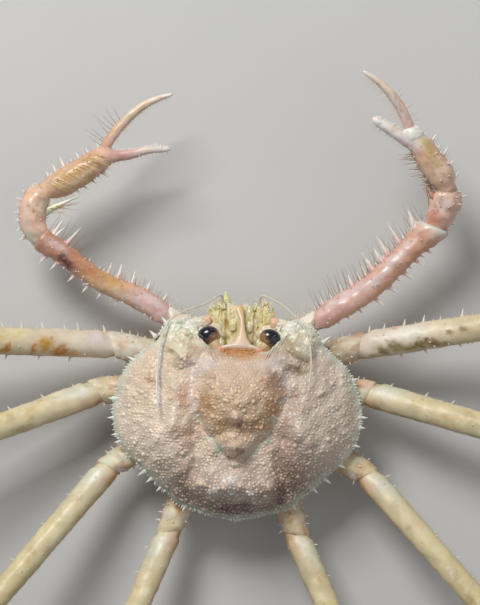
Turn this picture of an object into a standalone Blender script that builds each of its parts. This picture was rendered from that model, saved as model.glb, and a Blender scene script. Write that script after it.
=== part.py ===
"""Deep-sea spider crab Platymaia alcocki, life size, standing low with its claws spread.

Metres, +X to the crab's right, +Y forward, +Z up. Sizes are written in millimetres from the
middle of the carapace, over the floor, and the whole crab is moved at the end so that the
middle of its box stands on the origin.
"""
import math
import random

import bmesh
import bpy
import numpy as np
from mathutils import Matrix, Vector

MM = 0.001
GAP = 0.3                     # left between two pieces that touch
CLEARANCE = 0.45              # how much wider a socket is than what stands in it

# Heights over the floor
FLOOR = 0.0
SHELL_UNDERSIDE = 19.0
SHELL_RIM = 20.6
BACK_RISE = 11.0              # from the rim to the middle of the back, before its swellings
STERNUM = 8.0

# Half outline of the carapace from the middle of the rear edge to the middle of the front
HALF_OUTLINE = (
    (0.0, -32.0), (5.5, -31.4), (11.0, -29.8), (17.0, -28.0), (20.3, -24.8), (23.3, -22.5),
    (28.8, -17.2), (33.8, -12.2), (37.0, -6.5), (38.0, 0.3), (37.3, 6.0), (35.3, 11.5),
    (32.0, 16.2), (27.6, 20.2), (25.0, 23.2), (23.4, 26.4), (20.2, 27.8), (16.8, 27.7),
    (13.7, 25.5), (11.6, 21.6), (9.4, 19.8), (6.5, 19.6), (3.2, 18.4), (0.0, 18.1),
)
OUTLINE_POINTS = 60
OUTLINE_STEPS = 8             # fine steps between two points of the outline
# The back's slope ignores the notches for the eyes: its half outline, which runs on over them
HALF_SLOPE_OUTLINE = HALF_OUTLINE[:18] + ((12.6, 26.2), (8.6, 23.4), (4.4, 21.6), (0.0, 21.0))
BACK_RINGS = (1.0, 0.975, 0.93, 0.86, 0.76, 0.65, 0.54, 0.43, 0.32, 0.21, 0.1)
UNDERSIDE_REACH = 0.985       # how far the flat underside reaches, as a share of the outline
DOME_POWERS = (3.0, 0.75)     # how flat the middle of the back is, and how steep its rim
SWELLING_FADE = 6.0           # how close to the rim the swellings fade out
# Body under the shell: height and share of the outline
THORAX_SECTIONS = ((STERNUM, 0.56), (11.0, 0.78), (15.0, 0.87), (SHELL_UNDERSIDE - GAP, 0.88))

# Swellings and dips of the back: middle (x, y), half widths, height
SWELLINGS = (
    ((0.3, 5.5), (8.5, 9.5), 5.0),        # stomach region
    ((-0.3, -8.8), (4.6, 3.8), 3.0),      # heart region
    ((0.0, -19.5), (9.0, 4.0), 2.6),      # rear bulge
    ((21.0, -8.0), (9.0, 12.0), 3.4),     # gill chamber, right
    ((-21.0, -8.0), (9.0, 12.0), 3.4),    # gill chamber, left
    ((18.5, 19.0), (4.0, 5.0), 2.2),      # cheek, right
    ((-18.5, 19.0), (4.0, 5.0), 2.2),     # cheek, left
    ((10.5, -3.5), (2.0, 7.0), -1.8),     # groove beside the stomach, right
    ((-10.5, -3.5), (2.0, 7.0), -1.8),    # groove beside the stomach, left
)

# Eyes on short stalks
EYE_CENTRES = {"left": (-9.6, 24.0, 22.3), "right": (9.2, 23.8, 22.3)}
EYE_HALF_SIZES = (3.05, 2.55, 2.45)
EYE_TILT = 12.0
STALK_ROOT = (5.6, 18.6, 21.8)
STALK_RADIUS = 1.3

# Where each limb leaves the body, and its first free joint
SOCKETS = ((12.6, 18.4, 14.2), (19.6, 16.4, 13.6), (26.4, 7.2, 13.6), (24.8, -8.0, 13.6),
           (13.2, -18.4, 13.6))
CLAW_BASIS_BEND = (15.2, 25.2, 14.7)
FIRST_JOINTS = {
    "left": ((-22.3, 28.8, 15.0), (-39.8, 19.9, 15.2), (-43.8, 5.0, 15.2),
             (-39.0, -18.1, 15.2), (-19.6, -37.4, 15.2)),
    "right": ((22.8, 28.9, 15.0), (37.5, 22.3, 15.2), (40.6, 7.7, 15.2),
              (40.9, -17.5, 15.2), (19.8, -36.8, 15.2)),
}
BASIS_RADII = (3.8, 4.2, 4.1, 3.9, 4.0)
BASIS_KNEE = 0.7              # how far along it a basis keeps its full radius
BASIS_END = 0.86              # its radius at the first free joint, as a share
OVERRUN = 3.0                 # how far a limb piece is made past its joint before it is cut there

# Walking legs: merus, carpus, propodus and dactylus
LEG_PIECES = ("merus", "carpus", "propodus", "dactylus")
LEG_LENGTHS = ((92.0, 38.0, 78.0, 45.0), (75.0, 28.0, 55.0, 45.0), (65.0, 25.0, 50.0, 42.0),
               (52.0, 22.0, 42.0, 38.0))
LEG_RADII = (
    ((4.3, 4.0), (3.7, 3.7), (3.3, 2.4), (2.0, 0.7)),
    ((4.2, 3.6), (3.3, 3.4), (3.2, 2.5), (2.2, 0.7)),
    ((4.0, 3.4), (3.1, 3.2), (3.0, 2.4), (2.1, 0.7)),
    ((4.0, 3.2), (2.9, 3.0), (2.8, 2.2), (1.9, 0.7)),
)
LEG_SLOPES = ((17.0, -2.0, -17.0), (16.0, -5.0, -15.0), (16.0, -5.0, -15.0), (16.0, -5.0, -14.0))
LEG_HEADINGS = {              # degrees anticlockwise from +X, one for each piece
    "left": ((180.0, 176.0, 171.0, 168.0), (202.0, 206.0, 211.0, 215.0),
             (231.7, 235.0, 240.0, 244.0), (249.0, 253.0, 258.0, 261.0)),
    "right": ((11.7, 14.0, 18.0, 21.0), (-13.4, -17.0, -22.0, -26.0),
              (-46.3, -50.0, -55.0, -59.0), (-64.0, -69.0, -74.0, -77.0)),
}
BLADE_FLATNESS = 0.62         # thickness over breadth of the outer pieces of the last three legs
# How a piece narrows at its joints: distance from its start or its end, and share of its radius
JOINT_START = ((0.0, 0.8), (3.5, 1.0))
JOINT_END = ((5.0, 1.0), (2.5, 1.03), (0.0, 0.84))

# Claw legs: x, y, z and radius along each piece
CLAW_PIECES = {
    "left": {
        "merus": ((-22.3, 28.8, 15.0, 3.2), (-30.8, 34.1, 16.4, 3.4), (-43.2, 39.1, 18.3, 3.0),
                  (-55.7, 47.5, 19.8, 3.3), (-62.3, 51.5, 20.3, 3.1)),
        "carpus": ((-62.3, 51.5, 20.3, 3.1), (-64.9, 57.4, 20.8, 4.0), (-63.6, 63.0, 21.1, 4.0),
                   (-60.7, 65.9, 21.2, 3.2)),
        "palm": ((-60.7, 65.9, 21.2, 3.3), (-55.5, 68.6, 21.3, 4.0), (-49.5, 72.5, 21.5, 4.0),
                 (-43.8, 76.6, 21.5, 3.4), (-40.5, 77.2, 21.5, 2.2), (-35.5, 78.0, 21.5, 1.8),
                 (-29.5, 79.6, 21.4, 1.4), (-24.2, 80.0, 21.2, 1.0), (-23.2, 80.0, 21.2, 0.5)),
        "finger": ((-43.4, 79.2, 21.6, 1.9), (-41.2, 83.3, 21.9, 1.9), (-36.0, 89.6, 22.2, 1.7),
                   (-30.1, 94.1, 22.3, 1.3), (-23.2, 96.8, 22.2, 0.6)),
    },
    "right": {
        "merus": ((22.8, 28.9, 15.0, 3.3), (30.0, 33.7, 16.4, 3.7), (38.9, 40.1, 18.0, 3.7),
                  (47.7, 49.0, 19.5, 3.5), (53.6, 55.3, 20.2, 3.7), (58.1, 59.5, 20.6, 3.3)),
        "carpus": ((58.1, 59.5, 20.6, 3.3), (60.6, 66.1, 22.4, 4.4), (60.6, 71.4, 24.4, 3.4)),
        "palm": ((60.6, 71.4, 24.4, 3.5), (58.6, 75.2, 25.8, 4.1), (55.4, 78.8, 27.0, 4.0),
                 (51.5, 83.6, 28.8, 3.5), (47.3, 85.2, 29.9, 2.4), (42.4, 87.8, 31.2, 2.0),
                 (38.2, 90.2, 32.3, 1.6), (37.1, 90.8, 32.5, 0.9)),
        "finger": ((49.2, 87.0, 29.6, 1.9), (46.4, 92.4, 31.6, 1.9), (43.2, 96.9, 33.2, 1.7),
                   (38.8, 101.1, 34.5, 1.3), (33.5, 104.4, 35.5, 0.6)),
    },
}
CLAW_ORDER = ("merus", "carpus", "palm")

# Mouthparts and feelers
MOUTH_FRONT = 20.0            # flat front of the thorax
MAXILLIPED_LINE = ((4.9, 17.0, 12.4, 4.2), (5.5, 24.0, 12.4, 4.6), (5.9, 29.6, 12.8, 4.0),
                   (5.6, 33.0, 13.4, 2.4), (5.2, 34.4, 13.8, 0.9))
MAXILLIPED_FLATNESS = 0.78    # height over breadth
PEDUNCLE_LINE = ((3.9, 17.0, 17.6, 0.9), (4.2, 24.0, 17.8, 0.95), (5.4, 33.0, 18.2, 0.8))
FLAGELLUM_LINES = {
    "left": ((-6.4, 36.2, 19.0, 0.45), (-10.6, 33.6, 21.0, 0.4), (-17.5, 30.8, 23.4, 0.36),
             (-22.2, 27.6, 24.6, 0.34), (-25.0, 20.0, 26.6, 0.32), (-24.6, 10.0, 30.6, 0.28),
             (-23.8, 1.0, 34.0, 0.25)),
    "right": ((6.4, 36.4, 19.0, 0.45), (11.3, 34.6, 20.6, 0.4), (15.2, 31.8, 22.4, 0.38),
              (18.6, 28.6, 24.0, 0.36), (21.0, 23.0, 27.0, 0.32), (21.6, 17.0, 30.6, 0.28),
              (21.2, 11.0, 33.4, 0.25)),
}

# Tail flap folded under the body: distance forward, height, half width
PLEON_SECTIONS = ((-30.2, 17.4, 6.0), (-29.3, 14.0, 7.5), (-26.0, 9.4, 9.0), (-20.8, 6.9, 10.5),
                  (-14.0, 6.1, 11.0), (-5.0, 6.1, 9.2), (3.0, 6.1, 6.0), (8.0, 6.1, 3.0),
                  (9.6, 6.1, 1.2))
PLEON_HALF_THICKNESS = 1.1
PLEON_CORNERS = 12

# Spines. Each row stands at an angle round its piece: 0 on the front or inner margin, 90 on top,
# 180 on the rear or outer margin. On the claw legs each spine has its share of the way along the
# piece and its height over the surface.
CLAW_SPINES = {
    "left": {
        "merus": (
            (0, ((0.04, 1.6), (0.09, 2.4), (0.15, 1.5), (0.21, 2.6), (0.26, 1.6), (0.31, 3.4),
                 (0.41, 4.3), (0.49, 2.8), (0.56, 1.1), (0.65, 1.2), (0.82, 5.8), (0.93, 4.4))),
            (180, ((0.14, 1.1), (0.24, 1.2), (0.36, 1.6), (0.47, 1.9), (0.56, 2.9), (0.67, 2.4),
                   (0.81, 2.8), (0.90, 3.2))),
            (60, ((0.24, 0.9), (0.38, 1.0), (0.52, 0.8))),
            (125, ((0.18, 0.9), (0.34, 0.9), (0.62, 1.1))),
        ),
        "carpus": (
            (0, ((0.58, 4.2), (0.30, 1.6))),
            (180, ((0.28, 1.8), (0.38, 1.4), (0.47, 1.7), (0.56, 1.2), (0.65, 1.8), (0.76, 1.3))),
            (100, ((0.35, 1.0), (0.62, 1.2))),
        ),
        "palm": (
            (0, ((0.24, 1.3), (0.33, 1.7), (0.42, 1.7))),
            (180, ((0.06, 2.0), (0.13, 2.6), (0.21, 2.9), (0.28, 1.5), (0.34, 2.0), (0.42, 1.8),
                   (0.49, 1.9))),
            (110, ((0.12, 1.3), (0.26, 1.1), (0.38, 1.0))),
        ),
    },
    "right": {
        "merus": (
            (0, ((0.05, 1.3), (0.11, 2.2), (0.18, 1.7), (0.26, 2.2), (0.34, 3.1), (0.41, 2.6),
                 (0.46, 3.4), (0.52, 6.0), (0.60, 4.6), (0.66, 6.4), (0.71, 2.3), (0.77, 6.6),
                 (0.93, 3.0))),
            (180, ((0.20, 1.2), (0.29, 1.9), (0.41, 3.3), (0.52, 3.5), (0.65, 3.9), (0.76, 3.0),
                   (0.86, 2.3))),
            (215, ((0.58, 2.4), (0.80, 2.6))),
            (100, ((0.30, 0.9), (0.48, 0.9), (0.68, 1.0))),
        ),
        "carpus": (
            (0, ((0.45, 2.2), (0.80, 1.6))),
            (180, ((0.24, 1.7), (0.42, 1.6), (0.60, 1.5), (0.76, 1.6))),
            (100, ((0.35, 1.0), (0.62, 1.2))),
        ),
        "palm": (
            (0, ((0.14, 1.4), (0.28, 1.5), (0.40, 1.2))),
            (180, ((0.07, 1.9), (0.16, 1.7), (0.26, 3.0), (0.36, 1.6), (0.44, 2.4))),
            (110, ((0.12, 1.3), (0.24, 1.1), (0.36, 1.1))),
        ),
    },
}
CLAW_LEAN = 10.0              # degrees towards the tip of the limb

# On the walking legs a row has its angle, first and last share, count, first and last height, lean
LEG_SPINES = (
    {
        "merus": ((0, 0.03, 0.95, 15, 1.9, 2.4, 14), (180, 0.12, 0.94, 9, 1.8, 2.3, 14),
                  (100, 0.30, 0.90, 4, 1.1, 1.3, 14)),
        "carpus": ((0, 0.14, 0.88, 5, 2.4, 3.2, 22), (180, 0.14, 0.88, 5, 2.4, 3.2, 22)),
        "propodus": ((0, 0.06, 0.95, 12, 6.6, 4.2, 32), (180, 0.06, 0.95, 12, 6.6, 4.2, 32)),
        "dactylus": ((0, 0.06, 0.70, 7, 3.2, 1.8, 38), (180, 0.06, 0.70, 7, 3.2, 1.8, 38)),
    },
    {"merus": ((0, 0.08, 0.92, 7, 1.3, 1.5, 18),), "carpus": ((0, 0.70, 0.90, 2, 1.4, 1.6, 25),)},
    {"merus": ((0, 0.08, 0.92, 6, 1.3, 1.4, 18),), "carpus": ((0, 0.80, 0.80, 1, 1.4, 1.4, 25),)},
    {"merus": ((0, 0.10, 0.92, 5, 1.2, 1.3, 18),), "carpus": ((0, 0.80, 0.80, 1, 1.3, 1.3, 25),)},
)
SPINE_SLENDERNESS = 0.17      # radius at the surface for each unit of height
SPINE_LEAST_RADIUS = 0.42
SPINE_MOST_RADIUS = 0.75
SPINE_ROOT = 0.5              # how deep a spine is sunk, as a share of its limb's radius
# How much the spines of a row differ: place along the row, angle and height
ROW_SCATTER = 0.25
ANGLE_SCATTER = 12.0
HEIGHT_RANGE = (0.75, 1.2)

# Brow: broad plate, long middle spine and the two short horns beside it; height over breadth last
BROW_SPINES = (
    ((0.0, 11.5, 24.2), (0.4, 27.4, 23.4), 12.0, 0.26),
    ((0.1, 14.0, 23.8), (0.4, 33.5, 20.6), 3.4, 1.0),
    ((4.6, 16.0, 24.6), (6.6, 21.2, 25.6), 1.6, 1.0),
    ((-4.6, 16.0, 24.6), (-6.6, 21.2, 25.6), 1.6, 1.0),
)
# Knobs and small spines of the back: middle, height over the back, radius at the back
BACK_KNOBS = (
    ((0.0, -0.6), 1.5, 1.3), ((-0.3, -8.7), 1.9, 1.5), ((-0.3, -13.4), 1.0, 1.1),
    ((-7.0, -22.6), 1.2, 1.0), ((5.6, -22.9), 1.2, 1.0), ((3.2, -26.3), 1.3, 0.6),
    ((-15.3, 20.0), 1.1, 0.6), ((16.4, 20.0), 1.1, 0.6),
)
# Small spines along the rim, each given by its tip
RIM_SPINES = (
    (-39.4, 3.6), (-39.3, -2.4), (-38.0, -7.6), (-37.0, -9.9), (-29.4, -19.6), (-26.8, -21.6),
    (-23.6, -24.2), (-15.5, -30.0), (-34.0, 16.4), (-27.6, 24.6), (-24.0, 28.8), (39.7, 0.6),
    (39.2, -2.6), (37.8, -8.4), (33.6, -15.0), (29.3, -19.8), (25.4, -22.9), (19.0, -28.2),
    (36.3, 12.4), (27.4, 24.8), (17.6, 29.4), (12.4, 27.6),
)
RIM_SPINE_ROOT = 0.9          # share of the way out at which a rim spine starts
RIM_SPINE_LIFTS = (0.4, 0.8)  # height of its root and its tip over the rim
RIM_SPINE_RADIUS = 0.8
KNOB_ROOT = 1.2               # how deep a knob is sunk, for each unit of its height
SLOPE_STEP = 0.5              # how far apart the back is measured for its slope
GRAINS = 96                   # the coarsest grains of the back
GRAIN_HEIGHT = 0.55
GRAIN_RADIUS = 0.75
GRAIN_SIZES = (0.8, 1.15)
GRAIN_REACH = 0.92            # share of the way out to the rim
GRAIN_FRONT = 16.0            # no grain stands further forward than this
GRAIN_SCATTER = 0.6
GRAIN_CLEARANCE = 2.4         # least distance from a knob
GOLDEN_ANGLE = 2.39996

# Spines of the mouthparts: root, tip, radius, for the right side
MOUTH_SPINES = (
    ((6.8, 29.0, 13.6), (9.6, 35.0, 15.4), 0.9), ((6.0, 30.0, 13.6), (7.4, 36.2, 15.6), 0.8),
    ((7.6, 27.0, 13.4), (11.2, 32.4, 14.8), 0.8), ((5.0, 30.0, 13.6), (4.6, 36.0, 15.6), 0.8),
    ((4.0, 29.4, 13.6), (2.4, 34.6, 15.4), 0.8), ((6.4, 26.0, 14.0), (9.4, 29.0, 17.0), 0.8),
)
LEAF_LOBE = ((-3.8, 29.6, 13.6), (-4.9, 37.4, 15.4), 1.5)

SIDES = {"left": -1, "right": 1}

COLOURS = {
    "shell": ((0.60, 0.44, 0.35), 0.55),
    "underside": ((0.74, 0.63, 0.50), 0.55),
    "leg": ((0.74, 0.62, 0.42), 0.45),
    "claw": ((0.76, 0.48, 0.38), 0.42),
    "eye": ((0.015, 0.016, 0.025), 0.08),
    "mouth": ((0.66, 0.58, 0.30), 0.60),
    "feeler": ((0.55, 0.50, 0.40), 0.50),
}


def new_collection(name):
    """A collection of the scene."""
    collection = bpy.data.collections.new(name)
    bpy.context.scene.collection.children.link(collection)
    return collection


def new_materials():
    """One Principled material for each colour."""
    made = {}
    for name, (colour, roughness) in COLOURS.items():
        material = bpy.data.materials.new(name)
        material.use_nodes = True
        shader = material.node_tree.nodes["Principled BSDF"]
        shader.inputs["Base Color"].default_value = (*colour, 1.0)
        shader.inputs["Roughness"].default_value = roughness
        shader.inputs["Metallic"].default_value = 0.0
        made[name] = material
    return made


def object_from(name, bm, collection):
    """An object with the mesh that has been built."""
    bmesh.ops.recalc_face_normals(bm, faces=bm.faces)
    mesh = bpy.data.meshes.new(name)
    bm.to_mesh(mesh)
    bm.free()
    made = bpy.data.objects.new(name, mesh)
    collection.objects.link(made)
    return made


def spline(knots, steps):
    """Points on a smooth curve through the knots, a number of steps between each two."""
    knots = [np.array(knot, dtype=float) for knot in knots]
    ends = [knots[0] * 2 - knots[1], *knots, knots[-1] * 2 - knots[-2]]
    line = []
    for before, start, end, after in zip(ends, ends[1:], ends[2:], ends[3:]):
        for step in range(steps):
            t = step / steps
            bend = 2 * before - 5 * start + 4 * end - after
            turn = 3 * start - before - 3 * end + after
            line.append(0.5 * (2 * start + (end - before) * t + bend * t ** 2 + turn * t ** 3))
    line.append(knots[-1])
    return line


def heading(line, end=False):
    """Direction of a line at its start or its end."""
    first, second = (line[-2], line[-1]) if end else (line[0], line[1])
    return Vector(second[:3] - first[:3]).normalized()


def stretched(line, reach):
    """The line carried straight on past both ends."""
    before = line[0].copy()
    before[:3] -= np.array(heading(line)) * reach
    after = line[-1].copy()
    after[:3] += np.array(heading(line, end=True)) * reach
    return [before, *line, after]


def tube(name, line, collection, grow=0.0):
    """A closed round tube along a line of points, each with its radius."""
    curve = bpy.data.curves.new(name, "CURVE")
    curve.dimensions = "3D"
    curve.bevel_depth = MM
    curve.bevel_resolution = 2
    curve.use_fill_caps = True
    run = curve.splines.new("POLY")
    run.points.add(len(line) - 1)
    for point, (x, y, z, radius) in zip(run.points, line):
        point.co = (x * MM, y * MM, z * MM, 1.0)
        point.radius = radius + grow
    holder = bpy.data.objects.new(name, curve)
    collection.objects.link(holder)
    bpy.context.view_layer.update()
    evaluated = holder.evaluated_get(bpy.context.evaluated_depsgraph_get())
    bm = bmesh.new()
    mesh = bpy.data.meshes.new_from_object(evaluated)
    bm.from_mesh(mesh)
    bmesh.ops.remove_doubles(bm, verts=bm.verts, dist=0.00001)
    bpy.data.objects.remove(holder)
    bpy.data.curves.remove(curve)
    bpy.data.meshes.remove(mesh)
    return object_from(name, bm, collection)


def loft(name, rings, collection):
    """A closed skin over rings of points with the same number of points each."""
    bm = bmesh.new()
    rows = [[bm.verts.new(Vector(point) * MM) for point in ring] for ring in rings]
    for lower, upper in zip(rows, rows[1:]):
        for index in range(len(lower)):
            after = (index + 1) % len(lower)
            bm.faces.new((lower[index], lower[after], upper[after], upper[index]))
    bm.faces.new(rows[0])
    bm.faces.new(rows[-1])
    return object_from(name, bm, collection)


def edit(made):
    """The mesh of an object, opened for changes."""
    bm = bmesh.new()
    bm.from_mesh(made.data)
    return bm


def close_edit(made, bm):
    """Writes the changed mesh back."""
    bmesh.ops.recalc_face_normals(bm, faces=bm.faces)
    bm.to_mesh(made.data)
    bm.free()


def trim(made, point, outward):
    """Cuts off what lies beyond a plane and closes the cut."""
    bm = edit(made)
    whole = bm.verts[:] + bm.edges[:] + bm.faces[:]
    bmesh.ops.bisect_plane(bm, geom=whole, dist=0.0000001, plane_co=Vector(point) * MM,
                           plane_no=Vector(outward), clear_outer=True)
    bmesh.ops.holes_fill(bm, edges=bm.edges)
    close_edit(made, bm)


def flatten(made, point, across, factor):
    """Squeezes a piece towards the plane through a point."""
    bm = edit(made)
    across = Vector(across).normalized()
    for vert in bm.verts:
        vert.co -= across * across.dot(vert.co - Vector(point) * MM) * (1 - factor)
    close_edit(made, bm)


def keep_largest(made):
    """Keeps only the largest closed surface of an object."""
    bm = edit(made)
    left = set(bm.faces)
    shells = []
    while left:
        front = [left.pop()]
        shell = list(front)
        while front:
            face = front.pop()
            for edge in face.edges:
                for other in edge.link_faces:
                    if other in left:
                        left.remove(other)
                        front.append(other)
                        shell.append(other)
        shells.append(shell)
    shells.sort(key=lambda shell: sum(face.calc_area() for face in shell))
    scraps = [face for shell in shells[:-1] for face in shell]
    bmesh.ops.delete(bm, geom=scraps, context="FACES")
    close_edit(made, bm)


def boolean(made, pieces, operation):
    """Joins the pieces to an object, or cuts them out of it, in one step."""
    collection = new_collection("tools")
    for piece in pieces:
        for holder in piece.users_collection:
            holder.objects.unlink(piece)
        collection.objects.link(piece)
        piece.hide_render = True
        piece.display_type = "WIRE"
    modifier = made.modifiers.new(operation.lower(), "BOOLEAN")
    modifier.operation = operation
    modifier.operand_type = "COLLECTION"
    modifier.collection = collection
    modifier.solver = "EXACT"
    bpy.context.view_layer.update()
    evaluated = made.evaluated_get(bpy.context.evaluated_depsgraph_get())
    result = bpy.data.meshes.new_from_object(evaluated)
    made.modifiers.clear()
    made.data = result
    for piece in pieces:
        bpy.data.objects.remove(piece)
    bpy.data.collections.remove(collection)
    keep_largest(made)


def spine(root, tip, radius, collection, flatness=1.0):
    """A sharp four-sided spine from its sunken root to its tip."""
    root = Vector(root)
    tip = Vector(tip)
    along = tip - root
    bm = bmesh.new()
    bmesh.ops.create_cone(bm, cap_ends=True, segments=4, radius1=radius * MM, radius2=0.0,
                          depth=along.length * MM)
    bmesh.ops.remove_doubles(bm, verts=bm.verts, dist=0.0000001)
    bmesh.ops.scale(bm, vec=(1.0, flatness, 1.0), verts=bm.verts)
    turn = along.to_track_quat("Z", "Y").to_matrix().to_4x4()
    bmesh.ops.transform(bm, matrix=Matrix.Translation((root + tip) / 2 * MM) @ turn, verts=bm.verts)
    return object_from("spine", bm, collection)


def along_line(line, share):
    """Point with its radius, and direction, at a share of the way along a line."""
    steps = [np.linalg.norm((b - a)[:3]) for a, b in zip(line, line[1:])]
    travelled = np.concatenate(([0.0], np.cumsum(steps)))
    mark = share * travelled[-1]
    here = np.array([np.interp(mark, travelled, [point[axis] for point in line]) for axis in range(4)])
    index = min(int(np.searchsorted(travelled, mark, side="right")), len(line) - 1)
    return here, Vector((line[index] - line[index - 1])[:3]).normalized()


def spine_on(line, side, angle, share, height, lean, collection):
    """A spine that stands on a limb piece."""
    here, ahead = along_line(line, share)
    middle = Vector(here[:3])
    front = Vector((-ahead.y, ahead.x, 0.0)).normalized() * SIDES[side]
    up = ahead.cross(front) * SIDES[side]
    out = front * math.cos(math.radians(angle)) + up * math.sin(math.radians(angle))
    way = out * math.cos(math.radians(lean)) + ahead * math.sin(math.radians(lean))
    radius = min(max(height * SPINE_SLENDERNESS, SPINE_LEAST_RADIUS), SPINE_MOST_RADIUS)
    root_depth = here[3] * SPINE_ROOT
    full = height + root_depth
    root = middle + out * (here[3] - root_depth)
    return spine(root, root + way * full, radius * full / height, collection)


def outline(half=HALF_OUTLINE):
    """Evenly spaced points round the carapace, from the half outline of its right side."""
    left = [(-x, y) for x, y in half[-2:0:-1]]
    knots = [*half, *left]
    closed = [knots[-1], *knots, knots[0], knots[1]]
    fine = spline(closed, OUTLINE_STEPS)[OUTLINE_STEPS:-OUTLINE_STEPS]
    lengths = [math.dist(a, b) for a, b in zip(fine, fine[1:])]
    travelled = np.concatenate(([0.0], np.cumsum(lengths)))
    marks = np.linspace(0.0, travelled[-1], OUTLINE_POINTS, endpoint=False)
    xs = np.interp(marks, travelled, [point[0] for point in fine])
    ys = np.interp(marks, travelled, [point[1] for point in fine])
    return list(zip(xs, ys))


def slope_outline():
    """Directions and distances, from the middle, of the outline that the back slopes down to."""
    polar = sorted((math.atan2(y, x), math.hypot(x, y)) for x, y in outline(HALF_SLOPE_OUTLINE))
    return [turn for turn, _ in polar], [reach for _, reach in polar]


SLOPE_TURNS, SLOPE_REACHES = slope_outline()


def back_height(x, y):
    """Height of the back over the floor."""
    reach = np.interp(math.atan2(y, x), SLOPE_TURNS, SLOPE_REACHES, period=math.tau)
    share = min(math.hypot(x, y) / reach, 1.0)
    flat, steep = DOME_POWERS
    height = SHELL_RIM + BACK_RISE * (1 - share ** flat) ** steep
    fade = 1 - share ** SWELLING_FADE
    for (middle_x, middle_y), (wide, deep), rise in SWELLINGS:
        spread = ((x - middle_x) / wide) ** 2 + ((y - middle_y) / deep) ** 2
        height += rise * math.exp(-spread) * fade
    return height


def back_ring(rim, share):
    """One ring of the back, at a share of the way from the middle to the rim."""
    return [(x * share, y * share, back_height(x * share, y * share)) for x, y in rim]


def build_carapace(parts):
    """The shell of the back, flat beneath."""
    rim = outline()
    rings = [[(x * UNDERSIDE_REACH, y * UNDERSIDE_REACH, SHELL_UNDERSIDE) for x, y in rim]]
    rings += [back_ring(rim, share) for share in BACK_RINGS]
    return loft("carapace", rings, parts)


def knob(x, y, height, radius, parts):
    """A small cone that stands on the back."""
    foot = Vector((x, y, back_height(x, y)))
    rightward = Vector((x + SLOPE_STEP, y, back_height(x + SLOPE_STEP, y))) - foot
    forward = Vector((x, y + SLOPE_STEP, back_height(x, y + SLOPE_STEP))) - foot
    out = rightward.cross(forward).normalized()
    root = foot - out * height * KNOB_ROOT
    return spine(root, foot + out * height, radius * (1 + KNOB_ROOT), parts)


def dress_carapace(carapace, parts):
    """Fuses the brow, the knobs, the rim's spines and the coarsest grains to the back."""
    draw = random.Random(7)
    pieces = [spine(root, tip, radius, parts, flat) for root, tip, radius, flat in BROW_SPINES]
    pieces += [knob(x, y, height, radius, parts) for (x, y), height, radius in BACK_KNOBS]
    root_height, tip_height = (SHELL_RIM + lift for lift in RIM_SPINE_LIFTS)
    for x, y in RIM_SPINES:
        root = (x * RIM_SPINE_ROOT, y * RIM_SPINE_ROOT, root_height)
        pieces.append(spine(root, (x, y, tip_height), RIM_SPINE_RADIUS, parts))
    taken = [place for place, _, _ in BACK_KNOBS]
    for index in range(GRAINS):
        share = math.sqrt((index + 0.5) / GRAINS) * GRAIN_REACH
        turn = math.remainder(index * GOLDEN_ANGLE, math.tau)
        reach = np.interp(turn, SLOPE_TURNS, SLOPE_REACHES, period=math.tau) * share
        x = reach * math.cos(turn) + draw.uniform(-GRAIN_SCATTER, GRAIN_SCATTER)
        y = reach * math.sin(turn) + draw.uniform(-GRAIN_SCATTER, GRAIN_SCATTER)
        size = draw.uniform(*GRAIN_SIZES)
        crowded = min(math.dist((x, y), place) for place in taken) < GRAIN_CLEARANCE
        if crowded or y > GRAIN_FRONT:
            continue
        pieces.append(knob(x, y, GRAIN_HEIGHT * size, GRAIN_RADIUS * size, parts))
    boolean(carapace, pieces, "UNION")
    trim(carapace, (0.0, 0.0, SHELL_UNDERSIDE), (0.0, 0.0, -1.0))


def build_thorax(parts):
    """The body under the shell, flat in front, down to the breastplate."""
    rings = []
    for height, share in THORAX_SECTIONS:
        rings.append([(x * share, y * share, height) for x, y in outline()[::2]])
    thorax = loft("thorax", rings, parts)
    trim(thorax, (0.0, MOUTH_FRONT, 0.0), (0.0, 1.0, 0.0))
    return thorax


def build_pleon(parts):
    """The tail flap, folded round the rear edge and forward under the breastplate."""
    rings = []
    line = [np.array((0.0, y, z)) for y, z, _ in PLEON_SECTIONS]
    for index, (y, z, half_width) in enumerate(PLEON_SECTIONS):
        ahead = line[min(index + 1, len(line) - 1)] - line[max(index - 1, 0)]
        across = np.array((0.0, -ahead[2], ahead[1])) / np.linalg.norm(ahead)
        ring = []
        for corner in range(PLEON_CORNERS):
            angle = math.tau * (corner + 0.5) / PLEON_CORNERS
            middle = np.array((half_width * math.cos(angle), y, z))
            ring.append(middle + across * PLEON_HALF_THICKNESS * math.sin(angle))
        rings.append(ring)
    return loft("pleon", rings, parts)


def eye_ball(name, side, collection, grow=0.0):
    """The dark egg of one eye."""
    bm = bmesh.new()
    bmesh.ops.create_uvsphere(bm, u_segments=16, v_segments=10, radius=MM)
    ball = object_from(name, bm, collection)
    ball.scale = [half + grow for half in EYE_HALF_SIZES]
    ball.rotation_euler = (0.0, 0.0, math.radians(-EYE_TILT * SIDES[side]))
    ball.location = Vector(EYE_CENTRES[side]) * MM
    bpy.context.view_layer.update()
    ball.data.transform(ball.matrix_world)
    ball.matrix_world.identity()
    return ball


def eye_stalk(side, collection, grow=0.0):
    """The short stalk from the eye back to the brow."""
    root = np.array((STALK_ROOT[0] * SIDES[side], *STALK_ROOT[1:], STALK_RADIUS))
    end = np.array((*EYE_CENTRES[side], STALK_RADIUS))
    if not grow:
        root[:3] += (end - root)[:3] / np.linalg.norm((end - root)[:3]) * GAP
    return tube("eye_stalk", [root, end], collection, grow)


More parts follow.
